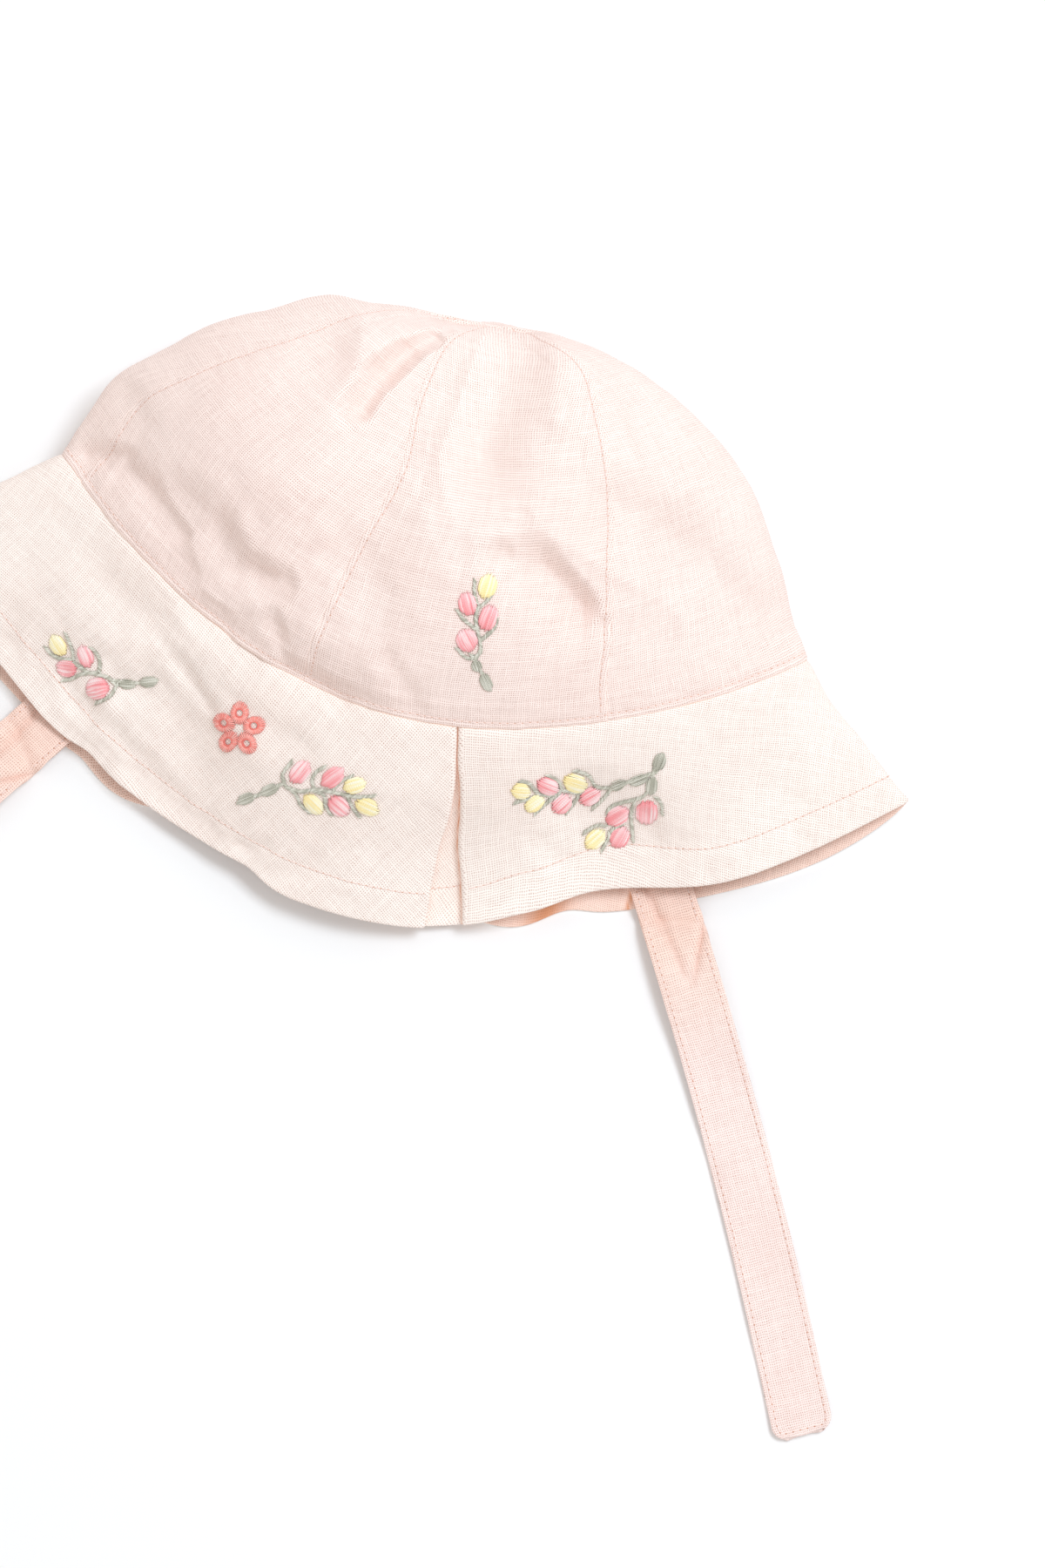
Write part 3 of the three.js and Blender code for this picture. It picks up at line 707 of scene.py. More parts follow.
def brim_path(down, total):
    """The way of the cloth round one ring: millimetres round from the front, and off the flaps."""
    lie = ring_at(pleat, np.array([down]))
    drift, mouth = float(lie["drift"][0]), max(CLOSED_MOUTH, float(lie["mouth"][0]))
    fold_out = (PLEAT_STEP + CLOTH) / 2
    left = drift - fold_out - GAP / 2
    right = drift + mouth + fold_out
    path = []

    def straight(start, end, level, count):
        path.extend((start + (end - start) * s / count, -level * PLEAT_STEP) for s in range(count + 1))

    def half_turn(centre, level_from, level_to, side):
        for s in range(1, 8):
            angle = math.pi * s / 8
            level = (level_from + level_to - (level_to - level_from) * math.cos(angle)) / 2
            path.append((centre + side * math.sin(angle) * PLEAT_STEP / 2, -level * PLEAT_STEP))

    straight(right, total + left, 0, ROUND)
    half_turn(left, 0, 1, 1)
    straight(left, left - PLEAT_DEPTH, 1, FLAP)
    half_turn(left - PLEAT_DEPTH, 1, 2, -1)
    straight(left - PLEAT_DEPTH, right + PLEAT_DEPTH, 2, UNDERLAY)
    half_turn(right + PLEAT_DEPTH, 2, 1, 1)
    straight(right + PLEAT_DEPTH, right, 1, FLAP)
    half_turn(right, 1, 0, -1)
    path.append(path[0])
    return np.array(path)


downs = 1.0 + with_edges(BRIM_DEPTH, 72, folded_edge["steps"])
totals = np.interp(downs, brim_net["downs"], brim_net["total"])
paths = np.array([brim_path(down, total) for down, total in zip(downs, totals)])
walk, level = paths[..., 0], paths[..., 1]
places, _ = on_skin(brim_net, downs[:, None], walk / totals[:, None], level)
places[:, -1] = places[:, 0]
# The flat pattern is a wide ring, eased at the hem, so the yarns turn against it on the way round.
PATTERN_RADIUS = 125.0  # at the crown seam
EASED_RADIUS = 171.0  # at the hem
PATTERN_ASIDE = 400  # from the gores' patterns
hem_lap = paths[-1].copy()
hem_lap[: ROUND + 1, 0] -= totals[-1]
walked = np.concatenate([[0], np.cumsum(np.hypot(*np.diff(hem_lap, axis=0).T))])
swing = walked / EASED_RADIUS
radius = PATTERN_RADIUS + BRIM_DEPTH * (downs - 1)[:, None]
pattern = np.stack([radius * np.sin(swing) - PATTERN_ASIDE, radius * np.cos(swing)], axis=-1)
brim_linen = linen("blush linen, brim", yarn=(0.99, 0.89, 0.83), pinhole_shade=(0.56, 0.34, 0.27))
# The brim's inside is coloured a deeper peach than its outside, as painted shade.
brim_inside_shaded = linen("peach linen, brim inside, painted shade", yarn=(1.0, 0.76, 0.66), pinhole_shade=(0.6, 0.28, 0.18))
wall = wall_shares(*paths.shape[:2], top=seam_edge, bottom=folded_edge)
# Painted shade and painted glow where the cloth is closed in: against the crown, between the pleat's layers
# and along the flap's edge, and behind, where the lining lies close under the front hem as far as the right
# tie.
painted_shade_and_glow = np.maximum(near_to((downs[:, None] - 1) * BRIM_DEPTH, 0.6), smooth((-level - 0.5) / 0.8))
painted_shade_and_glow *= 1 - 0.85 * smooth((-level - PLEAT_STEP) / 0.9)
flap_edge = walk[:, :1] - PLEAT_STEP / 2 - CLOTH / 2
painted_shade_and_glow = np.maximum(painted_shade_and_glow, (level < -PLEAT_STEP) * near_to(walk - flap_edge - 0.1, 0.45))
behind = np.abs(walk / totals[:, None] - 0.5) < 0.25
painted_shade_under_hem = near_to(places[..., 0] - 53, 9) + near_to(places[..., 0] - 74, 1.4)
painted_shade_and_glow = np.maximum(painted_shade_and_glow, 0.95 * behind * painted_shade_under_hem * smooth((downs[:, None] - 1.5) / 0.2))
brim = cloth_piece("brim", places + ORIGIN, pattern, wall, painted_shade_and_glow, [brim_linen, brim_inside_shaded], closed=True)


# ---------------------------------------------------------------------------------------------
# The two ties. Each is a strip of linen folded into four and stitched close round its edges,
# sewn in at the crown seam, and laid over the back of the brim and out on the table.
TIE_CLOTH = 1.5  # millimetres through the folded strip
TIE_WIDTH = 16.5
TIE_RUN = 205.0  # from the crown seam to the free end
TIE_SEAT = 3.0  # from the crown seam to where it is sewn in
TIE_CORNER = 4.0  # the radius of its rounded corners
TIE_ROWS, TIE_COLUMNS = 230, 28
pressed_edge = {"steps": (0.0, 0.1, 0.3, 0.7), "wall": (0.7, 0.9, 0.97, 1.0)}
tie_table = {
    "tie_right": {"exit_x": 81.5, "exit_y": -70.4, "slant": 30, "bow": 2, "seed": 7},
    "tie_left": {"exit_x": -90.7, "exit_y": -71.0, "slant": -31, "bow": -2, "seed": 8},
}


def tie_place(run, across, lift, exit_x, exit_y, slant, bow, seed):
    """A place on a tie: millimetres from the crown seam, and across from its middle as a share."""
    lean = math.radians(slant)
    along_x, along_y = math.sin(lean), -math.cos(lean)
    past = run - BRIM_DEPTH
    over_brim = CLOTH + GAP + TIE_CLOTH / 2
    hump = 4.0 * near_to(past - 28, 20) + 0.9 * near_to(past - 60, 14)
    z = over_brim + (TIE_CLOTH / 2 - over_brim) * smooth((past - 8) / 50) + hump
    z = z + 0.35 * (1 + np.sin(past * 0.17 + seed + across)) * smooth((past - 50) / 20)
    in_corner = np.clip(run - (TIE_RUN - TIE_CORNER), 0, TIE_CORNER)
    half = TIE_WIDTH / 2 - TIE_CORNER + np.sqrt(TIE_CORNER**2 - in_corner**2)
    off = across * half + bow * np.sin(math.pi * np.maximum(0, past) / (TIE_RUN - BRIM_DEPTH))
    ripple = 0.5 * np.sin(past * 0.13 + seed) * across**2
    # Three creases where it leaves the brim: across, slanting, and down its length.
    crease = near_to(past - 9 - 3 * across, 2.2)
    crease = crease + 1.3 * smooth((across + 0.3) / 0.4) * near_to(past - 27.4 + 16 * across, 2.6)
    crease = crease + 1.1 * near_to(across + 0.45 - past / 80, 0.17)
    x = exit_x + along_x * past - along_y * off
    y = exit_y + along_y * past + along_x * off
    z = np.maximum(z + ripple - 1.5 * crease * smooth((30 - past) / 8), TIE_CLOTH / 2)
    return np.stack([x, y, z + lift], axis=-1)


# The ties are darker and warmer for their first 65 millimetres from the crown seam, fading out by 100:
# painted shade where they come out from under the brim.
tie_linen = linen("blush linen, ties", (0.985, 0.81, 0.765), (0.52, 0.28, 0.21), painted_shade_to=0.1)
for name, lie in tie_table.items():
    down_it = with_edges(TIE_RUN, TIE_ROWS, pressed_edge["steps"])
    runs = TIE_SEAT + (TIE_RUN - TIE_SEAT) * down_it[:, None]
    across = with_edges(TIE_WIDTH, TIE_COLUMNS, pressed_edge["steps"])[None, :] * 2 - 1
    places = tie_place(runs, across, 0.0, **lie)
    pattern_x = across * TIE_WIDTH / 2 + 0 * runs + 40 * lie["seed"]
    pattern = np.stack([pattern_x, runs + 0 * across], axis=-1)
    wall = wall_shares(TIE_ROWS, TIE_COLUMNS, sides=pressed_edge, top=pressed_edge, bottom=pressed_edge)
    painted_shade_and_glow = np.zeros_like(wall)
    tie = cloth_piece(name, places + ORIGIN, pattern, wall, painted_shade_and_glow, [tie_linen], thickness=TIE_CLOTH)


# ---------------------------------------------------------------------------------------------
# The machine stitching. Fine cotton the colour of the cloth runs along the gore seams, the crown seam, the
# hem and the ties, and between each two stitches the needle's open hole is shown as a small dark disc of
# painted shade.
THREAD = 0.15  # millimetres from the middle of a sewing thread to its outside
THREAD_SIDES = 6  # faces round a thread
STITCH = 2.0  # from one needle hole to the next
NEEDLE_HOLE = 0.18  # from the middle of a hole to its side


def threads(name, paths, ups, radii, material, flatness=1.0):
    """Threads as closed tubes along paths of places, in millimetres, with a radius at each place."""
    ahead = np.gradient(paths, axis=1)
    aside = np.cross(ahead, ups)
    aside /= np.maximum(np.linalg.norm(aside, axis=-1, keepdims=True), 1e-9)
    over = np.cross(aside, ahead)
    over /= np.maximum(np.linalg.norm(over, axis=-1, keepdims=True), 1e-9)
    angle = np.linspace(0, 2 * math.pi, THREAD_SIDES + 1)
    radii = np.broadcast_to(radii, paths.shape[:2])[..., None, None]
    ring = np.cos(angle)[:, None] * aside[:, :, None]
    ring = ring + flatness * np.sin(angle)[:, None] * over[:, :, None]
    mesh, (which, r, c) = laid_grids(name, paths[:, :, None] + radii * ring)
    length = np.cumsum(np.linalg.norm(np.diff(paths, axis=1, prepend=paths[:, :1]), axis=-1), axis=1)
    set_uv(mesh, "thread", np.stack([c / THREAD_SIDES, length[which, r]], axis=-1))
    close_up(mesh)
    mesh.shade_smooth()
    mesh.materials.append(material)
    made = bpy.data.objects.new(name, mesh)
    scene.collection.objects.link(made)
    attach(made, "root")
    return made


def machine_stitches(line, ups):
    """Evenly spaced stitches along a line of places: their paths, the ways out there, and the holes."""
    run = np.concatenate([[0], np.cumsum(np.linalg.norm(np.diff(line, axis=0), axis=1))])
    count = max(2, int(round(run[-1] / STITCH)))
    step = run[-1] / count
    along = np.array([-0.46, -0.4, -0.2, 0.2, 0.4, 0.46]) * step
    lift = np.array([-0.4, -0.08, 0.1, 0.1, -0.08, -0.4])
    spots = (np.arange(count) + 0.5)[:, None] * step

    def at(values, where):
        return np.stack([np.interp(where, run, values[:, axis]) for axis in range(3)], axis=-1)

    stitch_ups = at(ups, spots + along)
    stitches = at(line, spots + along) + lift[:, None] * stitch_ups
    ends = np.arange(count + 1)[:, None] * step + np.array([-0.3, -0.2, 0.2, 0.3])
    ends = np.clip(ends, 0, run[-1])
    return stitches, stitch_ups, at(line, ends), at(ups, ends)


def plain(name, colour, roughness):
    """A finish of one colour, a little uneven."""
    made = bpy.data.materials.new(name)
    made.use_nodes = True
    tree = made.node_tree
    surface = tree.nodes["Principled BSDF"]
    place = tree.nodes.new("ShaderNodeTexCoord").outputs["Object"]
    faded = tuple(0.8 * share for share in colour)
    shade = mixed(tree, clouds(tree, place, 900.0, 2.0)["Fac"], (*faded, 1), (*colour, 1))
    tree.links.new(shade, surface.inputs["Base Color"])
    surface.inputs["Roughness"].default_value = roughness
    return made


sewing_cotton = plain("blush sewing cotton", (0.97, 0.78, 0.72), 0.6)
# The needle holes' colours are painted shade, darker in the ties.
needle_hole_shade = plain("needle hole", (0.78, 0.46, 0.34), 0.95)
tie_needle_hole_shade = plain("needle hole in a tie", (0.66, 0.33, 0.22), 0.95)


def sew(name, lines, hole):
    """Sews lines of places, and lays small dark discs of painted shade for the needle's holes between the
    stitches.
    """
    sewn = [machine_stitches(line, ups) for line, ups in lines]
    stitches, stitch_ups, holes, hole_ups = (np.concatenate(part) for part in zip(*sewn))
    stitch_radii = THREAD * np.array([0, 0.8, 1, 1, 0.8, 0])
    threads(name, stitches + ORIGIN, stitch_ups, stitch_radii, sewing_cotton)
    hole_radii = [0, NEEDLE_HOLE, NEEDLE_HOLE, 0]
    threads(name + "_holes", holes + ORIGIN, hole_ups, hole_radii, hole, flatness=0.35)


lines = []
for seam, side in zip(*seam_sides.values()):
    downs = np.linspace(0.07, 0.975, 500)
    total = np.interp(downs, crown_net["downs"], crown_net["total"])
    lines.append(on_skin(crown_net, downs, seam / PANELS + side * SEAM_STITCH / total, CLOTH / 2))
round_turns = np.linspace(-0.5, 0.5, 2000)
lines.append(on_skin(crown_net, 1 - BASE_STITCH / CROWN_DEPTH, round_turns, CLOTH / 2))
sew("crown_topstitching", lines, needle_hole_shade)

hem_down = 2 - HEM_STITCH / BRIM_DEPTH
hem_total = float(np.interp(hem_down, brim_net["downs"], brim_net["total"]))
hem_path = brim_path(hem_down, hem_total)
flap_to_flap = np.linspace(hem_path[0, 0] + 0.6, hem_path[ROUND, 0] - 0.6, 2400) / hem_total
underlay = np.linspace(hem_path[ROUND, 0] - hem_total - 4, hem_path[0, 0] + 4, 60) / hem_total
lines = [
    on_skin(brim_net, hem_down, flap_to_flap, CLOTH / 2),
    on_skin(brim_net, hem_down, underlay, CLOTH / 2 - 2 * PLEAT_STEP),
]
sew("hem_stitching", lines, needle_hole_shade)

EDGE_STITCH = 1.5  # from a tie's side to its stitching
lines = []
for lie in tie_table.values():
    edge = 1 - EDGE_STITCH / (TIE_WIDTH / 2)
    down_side = np.linspace(TIE_SEAT + 3, TIE_RUN - TIE_CORNER, 600)
    end = np.linspace(-edge, edge, 60)
    runs = np.concatenate([down_side, np.full(60, TIE_RUN - 1.6), down_side[::-1]])
    across = np.concatenate([np.full(600, -edge), end, np.full(600, edge)])
    line = tie_place(runs, across, TIE_CLOTH / 2, **lie)
    lines.append((line, np.broadcast_to([0.0, 0.0, 1.0], line.shape)))
sew("tie_stitching", lines, tie_needle_hole_shade)


# ---------------------------------------------------------------------------------------------
# The embroidery. Sprigs of buds in cotton floss: padded satin buds in pink and yellow, dyed deeper at one
# end, with sage leaves and rope-stitched twigs. All of it is worked by hand. Each strand is paler along its
# middle, a painted highlight.
floss, floss_in, floss_out = node_group(
    "cotton floss",
    {"Deep": (0.8, 0.2, 0.2, 1.0), "Middle": (0.9, 0.4, 0.4, 1.0), "Pale": (1.0, 0.8, 0.8, 1.0)},
    {"Colour": "NodeSocketColor", "Height": "NodeSocketFloat"},
)
# How pale the floss is, from its dye and from a painted highlight.
paleness_attribute = floss.nodes.new("ShaderNodeAttribute")
paleness_attribute.attribute_name = "pale"
to_middle = maths(floss, "MULTIPLY", paleness_attribute.outputs["Fac"], 2.0)
to_middle.node.use_clamp = True
to_pale = maths(floss, "MULTIPLY_ADD", paleness_attribute.outputs["Fac"], 2.0, -1.0)
to_pale.node.use_clamp = True
colouring = mixed(floss, to_middle, floss_in["Deep"], floss_in["Middle"])
colouring = mixed(floss, to_pale, colouring, floss_in["Pale"])
floss.links.new(colouring, floss_out["Colour"])
round_thread = floss.nodes.new("ShaderNodeUVMap")
round_thread.uv_map = "thread"
thread_parts = floss.nodes.new("ShaderNodeSeparateXYZ")
floss.links.new(round_thread.outputs["UV"], thread_parts.inputs[0])
twist = maths(floss, "MULTIPLY_ADD", thread_parts.outputs[1], 1.6, thread_parts.outputs[0])
strand = maths(floss, "SINE", maths(floss, "MULTIPLY", twist, 2 * math.pi))
floss.links.new(strand, floss_out["Height"])


def floss_material(name, deep, middle, pale):
    made = bpy.data.materials.new(name)
    made.use_nodes = True
    tree = made.node_tree
    surface = tree.nodes["Principled BSDF"]
    spun = tree.nodes.new("ShaderNodeGroup")
    spun.node_tree = floss
    for label, colour in (("Deep", deep), ("Middle", middle), ("Pale", pale)):
        spun.inputs[label].default_value = (*colour, 1)
    tree.links.new(spun.outputs["Colour"], surface.inputs["Base Color"])
    bump = tree.nodes.new("ShaderNodeBump")
    bump.inputs["Strength"].default_value = 0.5
    bump.inputs["Distance"].default_value = 0.00006
    tree.links.new(spun.outputs["Height"], bump.inputs["Height"])
    tree.links.new(bump.outputs["Normal"], surface.inputs["Normal"])
    surface.inputs["Roughness"].default_value = 0.5
    surface.inputs["Sheen Weight"].default_value = 0.25
    return made


pink = floss_material("pink floss", (0.9, 0.22, 0.24), (0.97, 0.47, 0.49), (1.0, 0.88, 0.87))
yellow = floss_material("yellow floss", (1.0, 0.79, 0.35), (1.0, 0.89, 0.5), (1.0, 0.98, 0.86))
sage = floss_material("sage floss", (0.34, 0.335, 0.26), (0.54, 0.53, 0.44), (0.82, 0.81, 0.72))
coral = floss_material("coral floss", (0.78, 0.14, 0.11), (0.96, 0.3, 0.25), (1.0, 0.58, 0.52))

# Places as seen from above, in millimetres. A bud or leaf starts at its deeper end and points
# along its heading, in degrees, and then come its length and its width.
pink_buds = [
    (19, 55.5, 119, 6.5, 4.2), (23, 52.5, 85, 7.5, 4.3), (22, 47, 133, 6.5, 5.0),
    (-16, 1, 65, 7.5, 4.4), (-8, 2.5, 52, 7.5, 4.4), (-5.5, 0.5, -25, 7, 4.6),
    (46.5, 19, -6, 6.5, 4.2), (53, 12, 59, 6.5, 4.4), (59, 16.5, 45, 6.5, 4.2),
    (76.5, 22.5, -76, 7, 5.5), (67.5, 13, 47, 7, 4.9), (71.5, 7, 77, 6.5, 4.6),
    (-76, 16.5, 126, 6.5, 3.8), (-79, 15.5, 188, 6.5, 4.2), (-69.5, 13.5, 205, 7, 5.4),
]
yellow_buds = [
    (21, 60.5, 90, 7, 4.4), (-2.5, 3.5, 30, 6.5, 3.9), (1.5, 1.5, -11, 7, 4.2), (-12, -0.5, -31, 7, 3.9),
    (40.5, 15, 10, 5.5, 3.9), (53, 21.5, -2, 7, 4.6), (45.5, 10.5, 51, 6.5, 3.7),
    (64, 5, 58, 7, 4.4), (-83.5, 18, 140, 6.5, 3.9),
]
leaves = [
    (22.5, 45.5, -54, 3.6, 2.4), (25, 43, -49, 6, 2.6), (-18.5, 0, 217, 6, 2.6), (-24, -4, 216, 6, 2.6),
    (76.5, 29.5, 85, 5.6, 3.0), (76, 29, -79, 5.6, 2.8), (75.5, 28.5, 216, 6, 2.4), (70, 25.5, 218, 5, 2.4),
    (-68.5, 14.5, 12, 5.5, 2.4), (-63, 16, 22, 6, 2.6),
]
twigs = [
    [(17.5, 65), (18, 62.5), (19.5, 59.5)], [(23, 64), (22, 61), (20, 58)],
    [(15, 56.5), (17.5, 54.5), (21, 53)], [(25.5, 57.5), (25.5, 54.5), (23, 50.5)],
    [(17.5, 47), (20, 45.5), (22, 45.5), (24, 48)],
    [(20, 58.5), (20.5, 55), (23, 50), (23.5, 48), (23, 45.5)],
    [(42.5, 18), (45, 18), (46.5, 17), (48, 16)],
    [(42.5, 12), (46, 14), (49, 16), (51.5, 16.5), (53.5, 18.5), (58, 19), (59.5, 20)],
    [(49, 21.5), (52.5, 20.5), (53.5, 19)], [(48.5, 10.5), (51, 14.5), (53.5, 18)],
    [(55.5, 24.5), (58, 24.5), (60, 24), (62.5, 22), (66, 22.5)], [(56.5, 13), (58, 16.5), (58.5, 18.5)],
    [(78.5, 23.5), (80.5, 22), (81.5, 19.5)], [(76, 24), (74.5, 22), (70, 19.5), (68, 18), (67, 16)],
    [(73.5, 21), (73.5, 17.5), (75.5, 12), (76, 10.5)],
    [(72.5, 14.5), (69.5, 11.5), (69.5, 9.5), (68.5, 5.5)],
    [(68, 12.5), (65.5, 12), (62.5, 9)], [(66.5, 22.5), (65, 19), (63, 16)],
    [(-17, 7), (-18.5, 3.5), (-18, 1.5), (-16.5, 0), (-12.5, 0), (-9, 1.5), (-4.5, 2), (2, 2.5), (6.5, 4)],
    [(-8, 8), (-10, 6), (-10.5, 3.5), (-9.5, 1.5)], [(-0.5, 7.5), (-2.5, 6), (-4, 4), (-4.5, 2.5)],
    [(-0.5, 2), (1.5, -0.5), (4, -2.5)], [(-9, 1), (-6.5, 0.5), (-5.5, -2), (-3.5, -4)],
    [(-16, 0), (-13.5, -1.5), (-12, -3.5), (-9, -5)],
    [(-85, 24), (-83.5, 22), (-82, 20), (-81, 17.5)],
    [(-89.5, 19), (-87.5, 17.5), (-84.5, 17), (-81.5, 17.5)],
    [(-77.5, 22), (-75.5, 21), (-74, 19), (-73.5, 16.5)],
    [(-83, 11.5), (-80.5, 12.5), (-78, 14.5), (-74, 16)],
    [(-81, 17), (-76.5, 15.5), (-71, 15.5), (-68.5, 14)],
    [(-72.5, 8), (-71, 9), (-69, 11), (-68, 14.5)],
    [(-70, 15), (-63.5, 16), (-58.5, 18)], [(-17.5, 1), (-23.5, -4), (-28.5, -7.5)],
    [(21.5, 46.5), (25, 43), (28, 39.5)], [(76, 31), (76.5, 24)], [(77, 30), (70.5, 25.5), (66, 22)],
]

bpy.context.view_layer.update()
depsgraph = bpy.context.evaluated_depsgraph_get()
worked_on = [BVHTree.FromObject(piece, depsgraph) for piece in (crown_panels[0], brim)]


def height_at(x, y):
    """How high the outside of the hat is, in millimetres, under a point seen from above."""
    start = Vector((x / 1000, y / 1000, 0.2))
    hits = (cloth.ray_cast(start, Vector((0, 0, -1)))[0] for cloth in worked_on)
    return max(hit.z * 1000 for hit in hits if hit)


def on_hat(spots):
    """Places on the outside of the hat for points seen from above, and the way out there."""
    reach = 1.2  # millimetres either way, over which the cloth's slope is felt
    flat_spots = spots.reshape(-1, 2)
    places = np.array([(x, y, height_at(x, y)) for x, y in flat_spots])
    fall_x = [height_at(x + reach, y) - height_at(x - reach, y) for x, y in flat_spots]
    fall_y = [height_at(x, y + reach) - height_at(x, y - reach) for x, y in flat_spots]
    ups = np.stack([-np.array(fall_x), -np.array(fall_y), np.full(len(places), 2 * reach)], axis=-1)
    ups /= np.linalg.norm(ups, axis=1, keepdims=True)
    return places.reshape(*spots.shape[:-1], 3), ups.reshape(*spots.shape[:-1], 3)


STRAND_STEPS = 9  # places along a strand of floss
BUD_PITCH, LEAF_PITCH, ROPE_PITCH = 0.3, 0.36, 0.46  # from one strand to the next
rng = np.random.default_rng(11)


def satin(x, y, heading, length, width, pitch, dome):
    """Strands side by side over a padded oval: their places, the ways out, and how pale they are, with a
    painted highlight along each strand's middle.
    """
    length, width = 1.1 * length, 1.12 * width
    count = max(5, int(round(width / pitch)))
    side = np.linspace(-0.88, 0.88, count)[:, None] + rng.uniform(-0.02, 0.02, (count, 1))
    reach = np.sqrt(1 - 0.82 * side**2) * rng.uniform(0.82, 1.08, (count, 1))
    t = np.linspace(-1, 1, STRAND_STEPS)[None, :] * reach
    off = side * width / 2 * (0.66 + 0.34 * np.cos(t * math.pi / 2))
    off = off + rng.uniform(-0.1, 0.1, (count, 1)) * t
    run = length / 2 * (1 + t)
    turn = math.radians(heading)
    spot_x = x + run * math.cos(turn) - off * math.sin(turn)
    spot_y = y + run * math.sin(turn) + off * math.cos(turn)
    spots = np.stack([spot_x, spot_y], axis=-1)
    places, ups = on_hat(spots)
    swell = dome * np.maximum(0, (1 - side**2) * (1 - (t / reach) ** 4)) ** 0.5
    tucked = np.where(np.abs(t / reach) > 0.99, -0.35, 0.1)
    # Paler towards the tip, as the floss is dyed, and paler by chance along each strand's middle, a painted
    # highlight.
    pale = 0.14 + 0.5 * run / length + rng.uniform(-0.2, 0.55, (count, 1)) * (1 - (t / reach) ** 2)
    return places + (swell + tucked)[..., None] * ups, ups, pale


def embroider(name, parts, radii, material):
    """Works strands as one piece of embroidery, each coloured along its length by how pale it is, painted
    highlight included.
    """
    paths, ups, pale = (np.concatenate(part) for part in zip(*parts))
    made = threads(name, paths, ups, np.broadcast_to(radii, paths.shape[:2]), material, flatness=0.8)
    # The merged ends keep the order of the strands, so each point takes the paleness of the nearest place.
    co = np.empty(len(made.data.vertices) * 3)
    made.data.vertices.foreach_get("co", co)
    tree = KDTree(paths.shape[0] * paths.shape[1])
    for i, spot in enumerate(paths.reshape(-1, 3) / 1000):
        tree.insert(spot, i)
    tree.balance()
    nearest = [tree.find(spot)[1] for spot in co.reshape(-1, 3)]
    made.data.attributes.new("pale", "FLOAT", "POINT").data.foreach_set("value", pale.ravel()[nearest])
    return made


bud_radii = 0.25 * np.array([0, 0.85, 1, 1, 1, 1, 1, 0.85, 0])
for name, buds, material in (("pink_buds", pink_buds, pink), ("yellow_buds", yellow_buds, yellow)):
    embroider(name, [satin(*bud, pitch=BUD_PITCH, dome=0.55) for bud in buds], bud_radii, material)


def smooth_line(points, pitch):
    """Even steps along a soft curve through a few points: where they are, and the heading there."""
    points = np.array(points, float)
    knots = np.concatenate([2 * points[:1] - points[1:2], points, 2 * points[-1:] - points[-2:-1]])
    t = np.linspace(0, 1, 12, endpoint=False)[:, None]
    curve = []
    for a, b, c, d in zip(knots, knots[1:], knots[2:], knots[3:]):
        bend = (2 * a - 5 * b + 4 * c - d) * t**2 + (3 * b - a - 3 * c + d) * t**3
        curve.append(b + 0.5 * ((c - a) * t + bend))
    curve = np.concatenate(curve + [points[-1:]])
    run = np.concatenate([[0], np.cumsum(np.hypot(*np.diff(curve, axis=0).T))])
    steps = np.linspace(0, run[-1], max(2, int(run[-1] / pitch)))
    spots = np.stack([np.interp(steps, run, curve[:, axis]) for axis in range(2)], axis=-1)
    ahead = np.gradient(spots, axis=0)
    return spots, ahead / np.linalg.norm(ahead, axis=1, keepdims=True)


def rope(points):
    """Rope stitch: short slanting stitches laid close along a line, each over the one before."""
    spots, ahead = smooth_line(points, ROPE_PITCH)
    aside = np.stack([-ahead[:, 1], ahead[:, 0]], axis=-1)
    t = np.linspace(-1, 1, STRAND_STEPS)[None, :, None]
    reach = rng.uniform(0.4, 0.68, (len(spots), 1, 1))
    slanting = spots[:, None] + t * (reach * aside[:, None] + 0.62 * ahead[:, None])
    places, ups = on_hat(slanting)
    lift = 0.08 + 0.34 * np.cos(t * math.pi / 2) ** 0.5 - 0.22 * (np.abs(t) > 0.99)
    # Each stitch is paler by chance, and paler again over its raised middle, a painted highlight.
    pale = rng.uniform(0.1, 0.8, (len(spots), 1)) + 0.2 * (1 - t[..., 0] ** 2)
    return places + lift * ups, ups, pale


tapered = np.array([0, 0.8, 1, 1, 1, 1, 1, 0.8, 0])  # a strand's thickness along its length
sage_work = [rope(points) for points in twigs]
sage_work += [satin(*leaf, pitch=LEAF_PITCH, dome=0.5) for leaf in leaves]
embroider("sage_twigs", sage_work, 0.2 * tapered, sage)


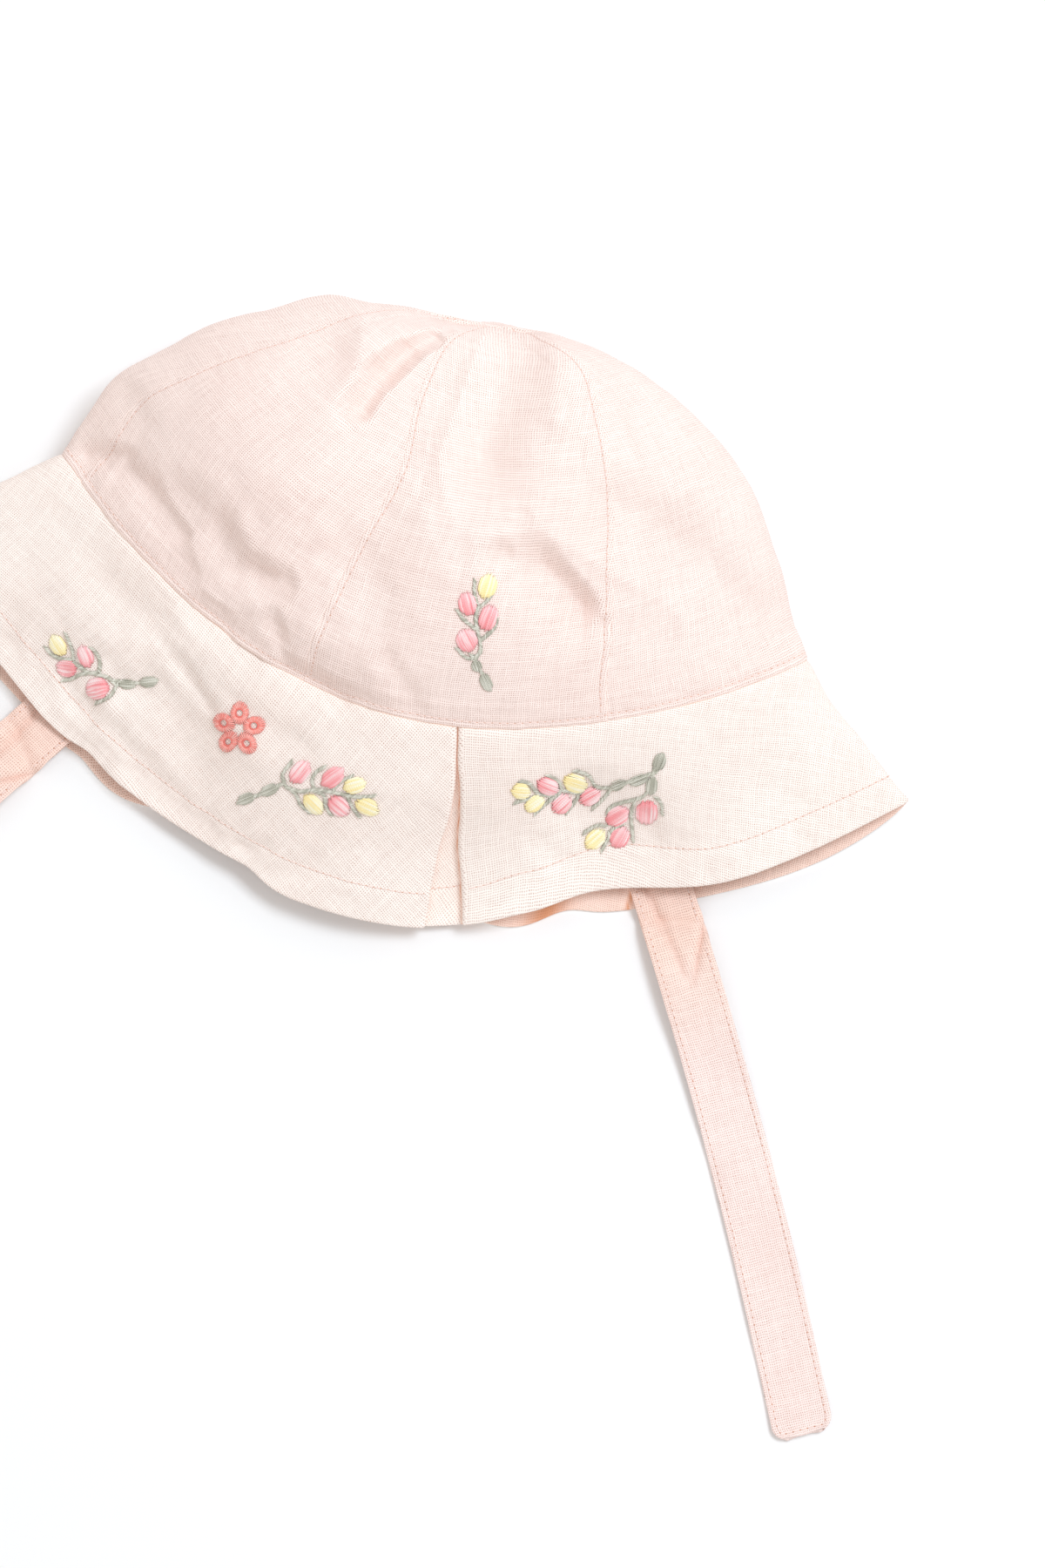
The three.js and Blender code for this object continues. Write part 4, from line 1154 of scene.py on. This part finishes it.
# ---------------------------------------------------------------------------------------------
# The coral flower on the brim. Five looped petals in blanket stitch, each a band of stitches
# pointing out from its own middle, with the purl edge of the stitch drawn round inside.
FLOWER_X, FLOWER_Y = -33.0, 11.5
PETALS = 5
PETAL_OUT = 4.3  # from the flower's middle to a petal's
PETAL_STITCHES = 30  # round one petal
PURL_LOOPS = 12  # and round its inner edge
PURL_PALE = 0.12  # the purl edge is the deepest of the coral
petals = []
for petal in range(PETALS):
    toward = math.radians(100 + 360 / PETALS * petal)
    middle_x = FLOWER_X + PETAL_OUT * math.cos(toward)
    middle_y = FLOWER_Y + PETAL_OUT * math.sin(toward)
    around = np.linspace(0, 2 * math.pi, PETAL_STITCHES, endpoint=False)[:, None]
    t = np.linspace(0, 1, STRAND_STEPS)[None, :]
    stretch = 1 + 0.12 * np.cos(2 * (around - toward))
    reach = (0.95 + 1.9 * t) * stretch + rng.uniform(-0.12, 0.12, (PETAL_STITCHES, 1)) * t
    spots = np.stack([middle_x + reach * np.cos(around), middle_y + reach * np.sin(around)], axis=-1)
    places, ups = on_hat(spots)
    lift = 0.12 + 0.4 * np.sin(math.pi * t) ** 0.6 - 0.3 * (np.abs(t - 0.5) > 0.49)
    # Each stitch is paler by chance, and paler again over its raised middle, a painted highlight.
    pale = rng.uniform(0.35, 0.7, (PETAL_STITCHES, 1)) + 0.15 * np.sin(math.pi * t)
    petals.append((places + lift[..., None] * ups, ups, pale))
    rim_turn = np.linspace(0, 2 * math.pi, PURL_LOOPS + 1)
    for start, end in zip(rim_turn[:-1], rim_turn[1:]):
        bend = np.linspace(start - 0.12, end + 0.12, STRAND_STEPS)[None, :]
        ring = 1.0 + 0.06 * np.sin(np.linspace(0, math.pi, STRAND_STEPS))
        spots = np.stack([middle_x + ring * np.cos(bend), middle_y + ring * np.sin(bend)], axis=-1)
        places, ups = on_hat(spots)
        lift = 0.42 - 0.3 * (np.abs(np.linspace(-1, 1, STRAND_STEPS)) > 0.99)
        petals.append((places + lift[:, None] * ups, ups, np.full((1, STRAND_STEPS), PURL_PALE)))
embroider("coral_flower", petals, 0.23 * tapered, coral)
